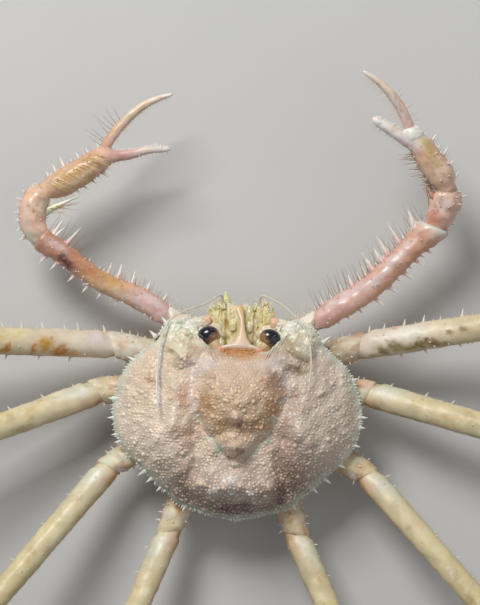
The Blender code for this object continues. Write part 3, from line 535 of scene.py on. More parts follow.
# Ridges and grooves of the back: path, rise, half width
FOLDS = (
    (((-11.5, -21.8), (-7, -22.4), (-3, -22.6), (3, -22.6), (7, -22.4), (11.5, -21.8)), 2.3, 3.4),
    (((-19.6, 9), (-18.4, 3), (-18.6, -4)), 1.3, 2.4), (((20.2, 9), (19.2, 3), (19.2, -4)), 1.3, 2.4),
    (NECK_GROOVE, -0.6, 0.8), (((-5.8, -5.6), (-2.5, -4.6), (0, -4.3), (3, -4.6), (6.4, -5.8)), -0.6, 1.3),
    (((-13.8, 14), (-13.9, 6), (-12.6, 0), (-13.4, -6)), -1, 1.7),
    (((14.4, 14), (14.9, 6), (13.6, 0), (14.2, -6)), -1, 1.7),
    (((-22.5, 14.8), (-18.6, 13.2), (-14.4, 14.4)), -0.5, 1.2),
    (((23.5, 14), (19.4, 12.4), (15, 13.8)), -0.4, 1.4),
    (((-13.4, -6), (-12, -11.5), (-12.6, -16), (-14.6, -22.5), (-13, -26)), -1.4, 1.5),
    (((14.2, -6), (12.6, -11.5), (13, -16), (14.8, -22.5), (13.2, -26)), -1.4, 1.5),
)
PALE_VALLEYS = (((-13.4, 14.5), (-13.6, 6), (-12.6, 0.5)), ((14.2, 13), (14.6, 6), (13.6, 0.5)))
BROW_BAND = ((0, 18.9), (6.8, 1.6))
BROW_BAND_DEPTH = 1.2
CHEEK = ((17.5, 21.5), (5, 5.5))
KNOB_POINT = 1.25             # 1 is a cone, and more has a hollower flank
# Knobs of the back: middle, rise, half width
KNOBS = (
    ((-0.1, -0.2), 3, 1.5), ((-0.1, -9.1), 3.3, 1.5), ((-0.6, -14.2), 1.1, 0.8), ((0.8, -14.2), 1.1, 0.8),
    ((-6, -23.2), 1.7, 1.2), ((4.9, -23.5), 1.8, 1.2), ((-8.4, 12.4), 0.9, 1.9), ((9, 12.4), 0.9, 1.9),
    ((-5.9, 6.4), 0.7, 0.9), ((8.9, 6.6), 0.9, 1.2), ((-21.4, 20.4), 1, 1.5), ((-16.4, 24.4), 0.9, 1.2),
    ((-19.6, 24.8), 0.8, 1.1), ((-23.4, 24), 0.9, 1.1), ((-14.8, 21.2), 0.8, 1), ((21.6, 20.2), 1, 1.5),
    ((16.6, 24.6), 0.9, 1.2), ((20, 24.6), 0.8, 1.1), ((23.8, 23.6), 0.9, 1.1), ((15.2, 21), 0.8, 1),
    ((-18, 17), 0.5, 1.4), ((-2.8, -21.4), 0.8, 1.1), ((2, -20.8), 0.8, 1), ((-10.4, -21), 1, 1.2),
    ((10.2, -21.6), 1, 1.2), ((-21, 3.4), 0.8, 1.4), ((-19.4, -3), 0.8, 1.4), ((19.2, 1.6), 0.8, 1.4),
    ((22.4, -6.8), 0.8, 1.3), ((-29, -3), 0.6, 1.2), ((29.4, 4.2), 0.7, 1.2), ((-7.4, 9.4), 0.7, 1),
    ((4.8, 10.6), 0.7, 1), ((-26.8, 10.6), 0.8, 1), ((-24.4, -13.6), 1, 1.4), ((28.6, 14.4), 0.7, 0.9),
    ((31.8, 11.2), 0.6, 0.8), ((24.6, -14.4), 0.8, 1.2), ((-17.8, -14.2), 0.6, 1),
)
GOLD_BROWN = (190, 138, 80)
PALE_CHEEK = (240, 234, 208)
RED_BROWN = (140, 88, 68)
DEEP_BROWN = (98, 56, 42)
# Painted regions of the back, each over those before it: middle, half widths, colour, amount
SHELL_PAINT = (
    ((-27, 12), (10, 12), (228, 200, 168), 0.6), ((0.4, 4), (11.5, 13), (196, 154, 108), 0.66),
    ((-7.9, 12.2), (3, 2.2), ORANGE_BROWN, 0.6), ((8.6, 12), (3.4, 2.6), ORANGE_BROWN, 0.65),
    ((-9, 4), (2.6, 4.4), GOLD_BROWN, 0.8), ((10.2, 4), (2.6, 5.4), GOLD_BROWN, 0.85),
    ((-4.6, -2.2), (3.6, 3), GOLD_BROWN, 0.65), ((6, -2), (4, 3.4), GOLD_BROWN, 0.65),
    ((0.6, 8.4), (2.6, 5), PINK_CREAM, 0.55), ((8.9, 6.4), (1.8, 1.4), PINK_CREAM, 0.6),
    # Around the middle knobs: the pink cream just ahead of each is partly a painted highlight on its lit
    # front; the browns just behind each, and behind the small pair at the heart, are painted shade
    ((-0.1, 1), (2.6, 1.5), PINK_CREAM, 0.75), ((0.8, -2.2), (2.4, 1), RED_BROWN, 0.85),
    ((-0.1, -8.3), (2.6, 1.6), PINK_CREAM, 0.85), ((0, -10.9), (2.4, 0.9), (116, 66, 46), 0.9),
    ((0.2, -15.1), (1.8, 0.6), (116, 66, 46), 0.8), ((-16.4, 4.6), (2.4, 4), (196, 140, 96), 0.65),
    ((16.6, 7), (2.4, 5), (158, 116, 98), 0.6), ((-14.6, -6.5), (4.5, 5), (196, 152, 128), 0.55),
    ((14.6, -6.5), (5, 6.5), RED_BROWN, 0.4), ((-15.6, -19), (5.6, 5), RED_BROWN, 0.56),
    ((-15.2, -23.4), (4.6, 3.6), DEEP_BROWN, 0.6), ((17, -16.5), (6.4, 6), RED_BROWN, 0.64),
    ((14.6, -22.8), (5, 4.4), DEEP_BROWN, 0.82), ((0, -20), (10.5, 5), (234, 208, 192), 0.95),
    ((0, -28.2), (14, 2.8), DEEP_BROWN, 0.85), ((0.1, -13.7), (1.8, 0.5), (240, 222, 208), 0.85),
    ((-6, -23), (1.2, 1), SPINE_WHITE, 0.75), ((4.9, -23.3), (1.2, 1), SPINE_WHITE, 0.8),
    ((-18.2, 19.6), (5.8, 6.6), (236, 226, 196), 0.92), ((18.6, 19.6), (5.8, 6.8), (222, 212, 190), 0.9),
    ((-11, 15.8), (4.6, 2.2), LILAC_WHITE, 0.85), ((11, 15.8), (4.4, 2.4), LILAC_WHITE, 0.8),
    ((0, 15.2), (5, 1.6), PINK_CREAM, 0.75), ((-13.6, 19.4), (2.2, 2.8), ORANGE_BROWN, 0.65),
    ((14.8, 19.8), (2.8, 2.8), (136, 104, 70), 0.9), ((-19, 13.4), (3.6, 0.9), ORANGE_BROWN, 0.45),
    ((-26.8, 10.6), (1.4, 1.4), ORANGE_BROWN, 0.55), ((-29, 2.6), (3.6, 0.7), ORANGE_BROWN, 0.25),
    ((-22.4, 24.6), (5, 4.6), PALE_CHEEK, 0.85), ((22.6, 24.6), (5, 4.6), (210, 208, 190), 0.85),
    ((-15, 25.4), (4, 3.4), PALE_CHEEK, 0.8), ((15, 25.4), (4, 3.4), PALE_CHEEK, 0.8),
    ((-20.6, 17), (1.6, 1.2), STAIN_ORANGE, 0.45), ((-16.2, 22.6), (1, 0.8), STAIN_ORANGE, 0.45),
    ((-22.4, 21), (1.4, 1), GOLD_BROWN, 0.5), ((21.2, 16.4), (2, 1.4), GOLD_BROWN, 0.6),
    ((16.6, 21.8), (1.2, 0.9), STAIN_ORANGE, 0.45), ((-17.2, 15.4), (2.2, 1.2), (168, 134, 96), 0.55),
    ((16.8, 14.6), (2.6, 1.6), (126, 96, 72), 0.65), ((13.8, 9), (2, 6), (126, 100, 80), 0.85),
    ((14.6, 24), (3.6, 3.6), (170, 146, 110), 0.65), ((0, -17.2), (11, 1), (214, 206, 196), 0.45),
    ((-12.4, -20.8), (1.8, 1.6), PINK_CREAM, 0.6), ((12.2, -21.2), (1.8, 1.6), (196, 160, 146), 0.6),
)
# Where the back is smooth: middle, half widths, how much
SMOOTH_SPOTS = (
    ((-18.5, 21.5), (5.5, 6), 0.45), ((18.5, 21.5), (5.5, 6), 0.45), ((-10.5, 17.4), (4, 1.8), 0.7),
    ((10.5, 17.4), (4, 1.8), 0.7), ((0, 20.4), (8, 1), 0.8), ((0, 0), (60, 60), 0.1),
)
GRID = 440
MARGIN_WIDTH = 0.04           # of the shell's reach
GRAIN_SPACING = 1.12
GRAIN_ROWS = 0.866            # of the spacing, from one row of a hexagonal grid to the next
GRAIN_JITTER = 0.36
GRAIN_RADII = (0.22, 0.52)
GRAIN_LIMIT = 0.965           # share of the reach where the grains end
TUBERCLE_SHARE = 0.06
TUBERCLE_GROWTH = 1.8
GRAIN_HEIGHT = 0.74           # of its radius
SLOPE_STEP = 0.15             # how far apart the back is measured for its slope
ORBIT_BLUR = (-0.06, -0.03, 0.0, 0.03, 0.06)  # turns over which the eye notches are rounded
CREVICE_LIMIT = 0.04          # painted shade: the skin between the grains is darkened where they rise less than this
GOLDEN_REGION = ((0.4, 3), (12, 14))
GRAIN_GOLD = (250, 226, 172)
SHELL_MARGIN = (220, 224, 208)
ORBIT_WALL = (196, 168, 116)


def in_outline(x, y, outline):
    """Whether points of the plan lie inside a closed outline."""
    inside = np.zeros(np.shape(x), bool)
    for (x0, y0), (x1, y1) in zip(outline, (*outline[1:], outline[0])):
        crossed = (y0 > y) != (y1 > y)
        inside ^= crossed & (x < x0 + (x1 - x0) * (y - y0) / (y1 - y0 + 1e-9))
    return inside


def back_height(x, y):
    """Height of the back with its shield, ridges, grooves and knobs."""
    height = smooth_back(x, y)
    edge = np.where(in_outline(x, y, SHIELD), 1.0, -1.0) * from_path(x, y, (*SHIELD, SHIELD[0]))
    rise = SHIELD_RISE - SHIELD_REAR_DROP * np.clip(-y / 8.0, 0.0, 1.0)
    height += rise / (1 + np.exp(-edge / SHIELD_EDGE)) - SHIELD_SINK
    for path, rise, width in FOLDS:
        height += rise * bell(from_path(x, y, path), width)
    height -= BROW_BAND_DEPTH * spot(x, y, *BROW_BAND)
    places = np.stack((x, y, np.zeros_like(x)), axis=-1)
    height += 0.36 * wobble(places, 7.0, 3) + 0.12 * wobble(places, 2.6, 4)
    height += spot(np.abs(x), y, *CHEEK) * (0.55 * wobble(places, 3.4, 12) - 0.7)
    for middle, rise, width in KNOBS:
        near = np.hypot(x - middle[0], y - middle[1]) / (1.7 * width)
        height += rise * np.maximum(1 - near, 0.0) ** KNOB_POINT
    return height


def shell_colours(x, y, share):
    """Painted colours of the back."""
    places = np.stack((x, y, np.zeros_like(x)), axis=-1)
    drift = x + 4.0 * wobble(places, 16.0, 5)
    tints = towards(PEACH, MAUVE, (drift + 14.0) / 34.0)
    ragged_x = x + 1.1 * wobble(places, 4.0, 6)
    ragged_y = y + 1.1 * wobble(places, 4.0, 7)
    for middle, half, colour, amount in SHELL_PAINT:
        tints = towards(tints, colour, spot(ragged_x, ragged_y, middle, half) * amount)
    patchy = sum(spot(ragged_x, ragged_y, *patch) for patch in GREEN_PATCHES)
    tints = towards(tints, PALE_GREEN, 1.3 * patchy * bell(from_path(ragged_x, ragged_y, NECK_GROOVE), 1.0))
    tints = towards(tints, RIBBON_GREY, 0.6 * bell(from_path(x, y, RIBBON), 0.8))
    tints = towards(tints, REAR_LINE_GREY, 1.1 * bell(from_path(x, y, REAR_LINE), 0.55))
    for path in PALE_VALLEYS:
        tints = towards(tints, LILAC_WHITE, 0.5 * bell(from_path(ragged_x, ragged_y, path), 1.3))
    tints = towards(tints, BAND_ORANGE, 1.3 * spot(x, y, *BROW_BAND))
    width = MARGIN_WIDTH * (1 + 0.55 * spot(np.abs(x), y, (24.0, -22.0), (9.0, 9.0)))
    brow = 1 - spot(x, y, (0.0, 18.6), (10.5, 3.0))
    pale = bell(1.0 - share, width * (1 + 0.35 * wobble(places, 5.0, 8)))
    return towards(tints, SHELL_MARGIN, 1.25 * pale * brow)


def scatter_grains():
    """Places and radii of the grains of the back, on a loose hexagonal grid."""
    draw = np.random.default_rng(11)
    places = []
    for number, y in enumerate(np.arange(-34.0, 26.0, GRAIN_SPACING * GRAIN_ROWS)):
        x = np.arange(-40.0, 40.0, GRAIN_SPACING) + (number % 2) * GRAIN_SPACING / 2
        places.append(np.stack((x, np.full_like(x, y)), axis=1))
    places = np.concatenate(places)
    places += draw.uniform(-GRAIN_JITTER, GRAIN_JITTER, places.shape)
    x, y = places.T
    share = np.hypot(x, y) / reach_at(np.arctan2(y, x), RIM)
    bare = sum(amount * spot(x, y, middle, half) for middle, half, amount in SMOOTH_SPOTS)
    kept = (share < GRAIN_LIMIT) & (draw.uniform(0.0, 1.0, len(x)) > bare)
    radii = draw.uniform(*GRAIN_RADII, len(x)) * (1 - 0.4 * np.minimum(bare, 1.0))
    radii *= np.where(draw.uniform(0.0, 1.0, len(x)) < TUBERCLE_SHARE, TUBERCLE_GROWTH, 1.0)
    return x[kept], y[kept], radii[kept]


def grain_bulges(skin):
    """How much the grains stand out at each point of the back."""
    flat = skin.reshape(-1, 3)
    tree = KDTree(len(flat))
    for index, place in enumerate(flat):
        tree.insert(place, index)
    tree.balance()
    bulge = np.zeros(len(flat))
    x, y, radii = scatter_grains()
    for *centre, radius in zip(x, y, back_height(x, y), radii):
        for _, index, distance in tree.find_range(centre, radius):
            bulge[index] = max(bulge[index], (1 - (distance / radius) ** 2) * radius)
    return bulge.reshape(skin.shape[:2])


def edge_loop(grid):
    """The border of a square grid of points, in order."""
    return np.concatenate((grid[:-1, 0], grid[-1, :-1], grid[:0:-1, -1], grid[0, :0:-1]))


def build_shell():
    """The granular shell of the back with its margin, brow and orbits."""
    across = np.linspace(-1.0, 1.0, GRID)
    first, second = np.meshgrid(across, across, indexing="ij")
    disc_x = first * np.sqrt(1 - second ** 2 / 2)
    disc_y = second * np.sqrt(1 - first ** 2 / 2)
    share = np.hypot(disc_x, disc_y)
    turn = np.arctan2(disc_y, disc_x)
    notched = sum(reach_at(turn + away, RIM) for away in ORBIT_BLUR) / len(ORBIT_BLUR)
    smooth = reach_at(turn, SLOPE)
    near_rim = np.clip((share - 0.5) / 0.5, 0.0, 1.0)
    reach = smooth + (notched - smooth) * near_rim ** 2 * (3 - 2 * near_rim)
    x = share * reach * np.cos(turn)
    y = share * reach * np.sin(turn)
    height = back_height(x, y)
    slope_x = (back_height(x + SLOPE_STEP, y) - height) / SLOPE_STEP
    slope_y = (back_height(x, y + SLOPE_STEP) - height) / SLOPE_STEP
    normals = unit(np.stack((-slope_x, -slope_y, np.ones_like(x)), axis=-1))
    skin = np.stack((x, y, height), axis=-1)
    bulge = grain_bulges(skin)
    skin = skin + normals * (bulge * GRAIN_HEIGHT)[..., None]
    rear = np.clip((-14.0 - y) / 10.0, 0.0, 1.0)
    # Painted shade in the crevices between the grains, deeper towards the rear
    crevice_shade = 0.10 + 0.12 * np.clip((-6.0 - y) / 12.0, 0.0, 1.0) + 0.22 * rear
    tints = shell_colours(x, y, share) * (1 - crevice_shade * (bulge < CREVICE_LIMIT))[..., None]
    domes = np.minimum(bulge / GRAIN_RADII[0], 1.0)
    # Painted highlight: the grain tops are lightened towards PEARL, more so towards the rear; partly also the
    # grains' own paler colour
    tints = towards(tints, PEARL, domes * (0.15 + 0.16 * rear))
    tints = towards(tints, GRAIN_GOLD, domes * 0.40 * spot(x, y, *GOLDEN_REGION))
    shape = Shape()
    index = np.arange(GRID * GRID).reshape(GRID, GRID)
    quads = np.stack((index[:-1, :-1], index[1:, :-1], index[1:, 1:], index[:-1, 1:]), axis=-1)
    shape.add(skin.reshape(-1, 3), (quads.reshape(-1, 4),), tints.reshape(-1, 3))
    add_margin(shape, edge_loop(skin), edge_loop(tints))
    add_rim_spines(shape)
    add_brow(shape)
    make_piece("carapace_shell", shape, "shell_skin", "shell", "carapace")


# The margin's rings from the edge down and inward: share of the reach, share of the drop
MARGIN_RINGS = ((0.998, 0.25), (0.994, 0.6), (0.985, 1), (0.95, 1), (0.7, 1), (0.3, 1))


def add_margin(shape, edge, tints):
    """The turned-under margin of the shell and its flat underside."""
    rings = [edge]
    for share, drop in MARGIN_RINGS:
        ring = edge * (share, share, 1.0)
        ring[:, 2] += (SHELL_UNDERSIDE - edge[:, 2]) * drop
        rings.append(ring)
    wall = towards(tints, ORBIT_WALL, spot(edge[:, 0], edge[:, 1], (0.0, 20.0), (12.0, 5.0)))
    under = towards(wall, BELLY, np.array(0.5))
    shape.add_rings(np.stack(rings), np.stack([tints, wall] + [under] * 5))


SPIKE_MARKS = np.array((-0.35, 0.0, 0.12, 0.3, 0.52, 0.76, 0.93, 1.0))


def spike(shape, root, way, height, radius, root_tint, tip_tint, curve=(0.0, 0.0, 0.0), blunt=0.0):
    """A round curved spine, flared at its foot, which stands on a place of the skin."""
    widths = np.array((1.7, 1.35, 1.0, 0.78, 0.56, 0.32 + blunt, 0.14 + blunt, 0.03 + blunt * 0.7))
    rings = tube(root, way, height, SPIKE_MARKS, widths * radius, curve, 8)
    shape.add_rings(rings, towards(root_tint, tip_tint, SPIKE_MARKS * 2.2)[:, None])


# Tips of the spines of the margin
RIM_SPINES = (
    (-39.4, 3.6), (-39.3, -2.4), (-38, -7.6), (-37, -9.9), (-29.4, -19.6), (-26.8, -21.6), (-23.6, -24.2),
    (-15.5, -30), (-34, 16.4), (-27.6, 24.6), (-24, 28.8), (39.7, 0.6), (39.2, -2.6), (37.8, -8.4),
    (33.6, -15), (29.3, -19.8), (25.4, -22.9), (19, -28.2), (36.3, 12.4), (27.4, 24.8), (17.6, 29.4),
    (12.4, 27.6),
)
RIM_SPINE_LENGTH = 2.4
RIM_SPINE_RADIUS = 0.66
SPINULE_STEPS = (0.018, 0.034)  # range of the turn from one spinule to the next
SPINULE_LENGTHS = (0.35, 1.1)
SPINULE_RADIUS = 0.31
BROW_HALF_WIDTH = 12.5        # the margin has no spinules within it


def add_rim_spines(shape):
    """The spines of the margin, and the spinules between them."""
    draw = random.Random(21)
    height = SHELL_RIM + 0.3
    for x, y in RIM_SPINES:
        out = unit((x, y, 0.0))
        root = np.array((x, y, height)) - out * 2.2
        way = out + (0.0, 0.0, 0.05)
        spike(shape, root, way, RIM_SPINE_LENGTH, RIM_SPINE_RADIUS, SHELL_MARGIN, SPINE_WHITE)
    turn = -math.pi
    while turn < math.pi:
        turn += draw.uniform(*SPINULE_STEPS)
        reach = reach_at(turn, RIM)
        place = np.array((math.cos(turn), math.sin(turn), 0.0))
        if abs(place[0] * reach) < BROW_HALF_WIDTH and place[1] > 0:
            continue
        size = draw.uniform(*SPINULE_LENGTHS)
        root = place * (reach - 0.25) + (0.0, 0.0, height + draw.uniform(-0.6, 0.3))
        way = place + (draw.uniform(-0.3, 0.3), draw.uniform(-0.3, 0.3), draw.uniform(-0.1, 0.3))
        spike(shape, root, way, size, SPINULE_RADIUS, SHELL_MARGIN, SPINE_WHITE)


# Brow plate: x, y, z, half width, half thickness
BROW_PLATE = (
    (0.1, 14.6, 24.9, 6.6, 0.8), (0.1, 17.2, 24.5, 7, 0.8), (0.1, 18.8, 24.1, 6.8, 0.8),
    (0.1, 20, 24.3, 6.3, 0.85), (0.2, 20.7, 24.7, 5, 0.9), (0.3, 21.4, 24.8, 3.6, 0.9),
    (0.4, 22.4, 24.5, 2.4, 0.8), (0.5, 24, 23.9, 1.5, 0.75), (0.6, 25.8, 23.2, 0.95, 0.7),
    (0.5, 27.8, 22.4, 0.7, 0.6), (0.3, 29.4, 21.8, 0.7, 0.55), (-0.1, 30.8, 21.2, 1, 0.55),
    (-0.4, 32, 20.8, 1.3, 0.5), (-0.4, 33.2, 20.5, 1, 0.35),
)
# The bar across it: x, y, z, radius
CREST_BAR = (
    (-5.7, 20.3, 24.5, 0.45), (-3.4, 20.9, 24.9, 0.55), (0.2, 21.2, 25, 0.6), (3.8, 20.9, 24.9, 0.55),
    (5.8, 20.2, 24.5, 0.45),
)
# Horns beside the brow plate and behind the eyes: root, direction, height, radius
HORNS = (((6.1, 19.7, 24.4), (0.8, 0.7, 0.4), 1.3, 0.6), ((15.8, 20.6, 23.2), (0.1, 0.6, 0.9), 1.4, 0.85))
# How high the orange band stands at distances forward
BAND_HEIGHTS = ((17.2, 18.8, 20, 20.7), (25.2, 24.85, 25.1, 25.5))
TIP_ORANGE = (226, 190, 132)
BAND_ORANGE = (204, 150, 98)
# Lobes of the orbits, beside the stem and at the feelers' bases: middle, half sizes, colour
LOBES = (
    ((-5.6, 21.4, 22), (1, 1.7, 1.1), (222, 218, 176)), ((5.9, 21.6, 22), (1, 1.7, 1.1), (222, 218, 176)),
    ((2.6, 26.6, 19.3), (1.3, 1.8, 1.1), (236, 226, 188)), ((-2.3, 26.8, 19), (1.2, 2, 1), (230, 218, 170)),
    ((-2.6, 30, 18.4), (1.1, 2.2, 0.9), (230, 218, 170)),
    ((2.8, 30.4, 18.4), (1.1, 2.2, 0.9), (230, 218, 170)),
)
# Lobes that both sides have, round the eyes and on the cheeks: middle, half sizes, colour
SIDE_LOBES = (
    ((7.8, 21.2, 21.2), (2.7, 2.4, 1.8), (228, 204, 172)),
    ((12.2, 22.6, 20.8), (3, 3.4, 2.2), (226, 218, 190)),
    ((9.4, 24.2, 19.2), (4.6, 3.6, 1.6), (226, 212, 182)),
    ((12.2, 27.4, 19.3), (3, 2.2, 1.7), (230, 224, 202)), ((16, 26.6, 19.3), (3.6, 2.6, 2.2), IVORY),
    ((19.6, 25.6, 19.2), (3.4, 3, 2.3), (222, 224, 204)), ((14.2, 24.6, 20), (2.6, 2, 1.7), CREAM_WHITE),
    ((10.4, 28.3, 20), (1.5, 1.8, 0.9), (234, 192, 162)),
    ((12.4, 25.2, 19.6), (2.2, 1.8, 1.4), CREAM_WHITE),
    ((14.4, 23.6, 22.6), (2.1, 2.7, 1.9), (238, 234, 212)), ((15.2, 25.6, 22), (2.7, 2, 1.8), IVORY),
    ((16.6, 23, 25), (2.2, 2.6, 1.6), (230, 226, 198)), ((12, 20.4, 24), (1.9, 1.8, 1.3), (214, 182, 134)),
    ((19.9, 24.9, 22.8), (2.5, 2.1, 1.7), (226, 230, 208)),
    ((20.4, 21.8, 25), (1.9, 2.5, 1.6), (234, 226, 198)),
    ((14.6, 20.6, 25.4), (1.7, 1.6, 1.1), (206, 182, 146)),
    ((17.6, 19.4, 27.2), (1.8, 2.1, 1), (232, 222, 194)),
)
# The folded mass of the inner mouthparts: distance forward and half width, seams, colours
MASS_OUTLINE = {20: 5.2, 23: 6.6, 26: 8.2, 29: 9.8, 31: 10.4, 32.4: 9.6, 33.2: 7.4}
MASS_HEIGHT = (17.3, 2.1)
MASS_FRONT = ((0, 7, 9.4, 10.2), (32.8, 32.8, 32, 30.6))
MASS_SEAM = 4.3
MASS_FOLDS = 30
MASS_SPINES = 34
MASS_FRONT_SPINES = 46
MASS_SHADE_GOLD = (186, 160, 90)
MASS_PALE = (236, 224, 180)
CHEEK_LOBE = (
    (19, 24, 19, 2.6), (16, 26.2, 19.4, 3.1), (13.2, 27.3, 19.4, 2.8), (11.2, 27.9, 19.5, 2.2),
    (9.9, 28, 19.5, 1.3),
)


def blob(shape, middle, half, tint, rough=0.06, seed=1, rows=14, around=20, size=1.6):
    """A rounded lobe with lumps of a size."""
    polar_angles = np.linspace(0.06, math.pi - 0.06, rows)[:, None, None]
    angles = circle(around)
    ring = np.stack((np.cos(angles), np.zeros(around), np.sin(angles)), axis=-1)
    rings = (np.sin(polar_angles) * ring + np.cos(polar_angles) * (0.0, 1.0, 0.0)) * half
    lumps = (rough * wobble(rings + np.asarray(middle), size, seed))[..., None]
    # Painted light and shade: the colour is lighter on the lumps and darker in the dents between them
    shape.add_rings(rings * (1 + lumps) + middle, np.clip(linear(tint) * (1 + 1.2 * lumps), 0.0, 1.0))


def add_brow(shape):
    """The brow plate with its ridge, the horns beside it and the lobes round the eyes."""
    angles = circle(16)
    x, y, z, half, thick = spline(BROW_PLATE, 3).T[..., None]
    thick = thick * np.where(np.sin(angles) > 0, 1.0, 0.6)
    rings = np.stack((x + half * np.cos(angles), y + 0 * angles, z + thick * np.sin(angles)), axis=-1)
    y = rings[..., 1]
    tints = towards(BAND_ORANGE, PINK_CREAM, (y - 20.1) / 0.5)
    tints = towards(tints, (236, 208, 172), (y - 21.0) / 3.0)
    tints = towards(tints, TIP_ORANGE, (y - 30.4) / 1.4)
    shape.add_rings(rings, tints)
    shape.add_rings(Limb(spline(CREST_BAR, 5), "right", step=0.3).rings, (240, 220, 198))
    draw = random.Random("brow")
    for _ in range(60):
        x = draw.uniform(-5.6, 5.6)
        y = draw.uniform(17.4, 20.6 - 0.02 * x * x)
        spike(shape, (x, y, np.interp(y, *BAND_HEIGHTS)), (0, 0, 1), draw.uniform(0.15, 0.3),
              draw.uniform(0.12, 0.22), BAND_ORANGE, TIP_ORANGE, blunt=0.5)
    for side, sign in SIDES.items():
        blob(shape, (sign * 5.9, 19.7, 24.3), (1.4, 1.2, 1.1), HORN_RED, rough=0.1, seed=27)
        mirror = (sign, 1, 1)
        for root, way, height, radius in HORNS:
            spike(shape, np.multiply(root, mirror), np.multiply(way, mirror), height, radius,
                  HORN_RED, SPINE_PINK, blunt=0.2)
        coat = Coat(f"cheek coat {side}", 1)
        cheek = Limb(spline(CHEEK_LOBE, 3) * (sign, 1, 1, 1), side, step=0.5)
        coat.grow(cheek, 0.0, 0.9, 40, 50, 4.2, 20, IVORY, 0.09, 0.4)
        make_piece(f"cheek_{side}_setae", coat.shape, "setae", "shell")
        for number, (middle, half, tint) in enumerate(SIDE_LOBES):
            blob(shape, np.multiply(middle, mirror), half, tint, rough=0.08, seed=60 + number,
                 rows=26, around=32)
    for number, (middle, half, tint) in enumerate(LOBES):
        blob(shape, middle, half, tint, rough=0.1, seed=30 + number, rows=22, around=26, size=1.2)


def build_mouth_mass():
    """The pale folded mass of the inner mouthparts between the eyes, with spines at its front."""
    angles = circle(240)
    y = np.linspace(20.0, 33.2, 66)[:, None] + 0 * angles
    x = profile_at(y, MASS_OUTLINE) * np.cos(angles)
    top = np.sin(angles) + 0 * x
    places = np.stack((x, y, 0 * x), axis=-1)
    folds = np.sin(np.arctan2(x, y - 12.0) * MASS_FOLDS + 1.2 * wobble(places, 5.0, 81))
    lumps = 0.6 * wobble(places, 3.0, 82) + 0.26 * wobble(places * (1.0, 0.5, 1.0), 1.2, 83) + 0.2 * folds
    seams = bell(np.abs(x) - MASS_SEAM - 0.3 * wobble(places, 2.4, 84), 0.45)
    seams = seams + 0.6 * bell(np.abs(x) - 1.6 * MASS_SEAM - 0.5 * wobble(places, 3.0, 85), 0.3)
    middle, thick = MASS_HEIGHT
    z = middle + thick * np.sign(top) * np.abs(top) ** 0.5
    z = z + np.maximum(top, 0.0) * (0.5 * lumps - 0.8 * seams) - 0.10 * np.maximum(y - 28.0, 0.0) ** 1.5
    rings = np.stack((x, y + 0.5 * lumps * (y > 31.0), z), axis=-1)
    tints = towards(MASS_PALE, MOUTH_YELLOW, (np.abs(x) - 3.0) / 4.0)
    # Painted shade: darker gold in the seams and in the hollows between the lumps
    tints = towards(tints, MASS_SHADE_GOLD, 0.75 * seams + 0.55 * np.maximum(-lumps, 0.0))
    shape = Shape()
    # Painted highlight: ivory on the tops of the lumps
    shape.add_rings(rings, towards(tints, IVORY, 0.4 * np.maximum(lumps, 0.0)))
    draw = random.Random("mouth mass")
    for _ in range(MASS_SPINES):
        root = rings[draw.randrange(30, 64), draw.randrange(12, 108)]
        way = (0.06 * root[0] + draw.uniform(-0.3, 0.3), 0.7, draw.uniform(0.5, 1.2))
        spike(shape, root, way, draw.uniform(0.4, 0.9), 0.24, MOUTH_YELLOW, MASS_PALE, blunt=0.2)
    for _ in range(MASS_FRONT_SPINES):
        across = draw.uniform(-9.8, 9.8)
        edge = np.interp(abs(across), *MASS_FRONT)
        way = (0.07 * across + draw.uniform(-0.35, 0.35), 1.0, draw.uniform(0.0, 0.7))
        root = (across, edge - 0.3, draw.uniform(16.4, 18.4))
        spike(shape, root, way, draw.uniform(0.8, 2.2), 0.32, MOUTH_YELLOW, SPINE_WHITE)
    make_piece("mouth_mass", shape, "mouth_skin", "mouthparts")


NO_JOINT = {0: 1, 1: 1}
SLANT_FADE = 3.0              # how far from a slanted end a piece is straight again
LUMP_SIZES = (4.6, 1.9)


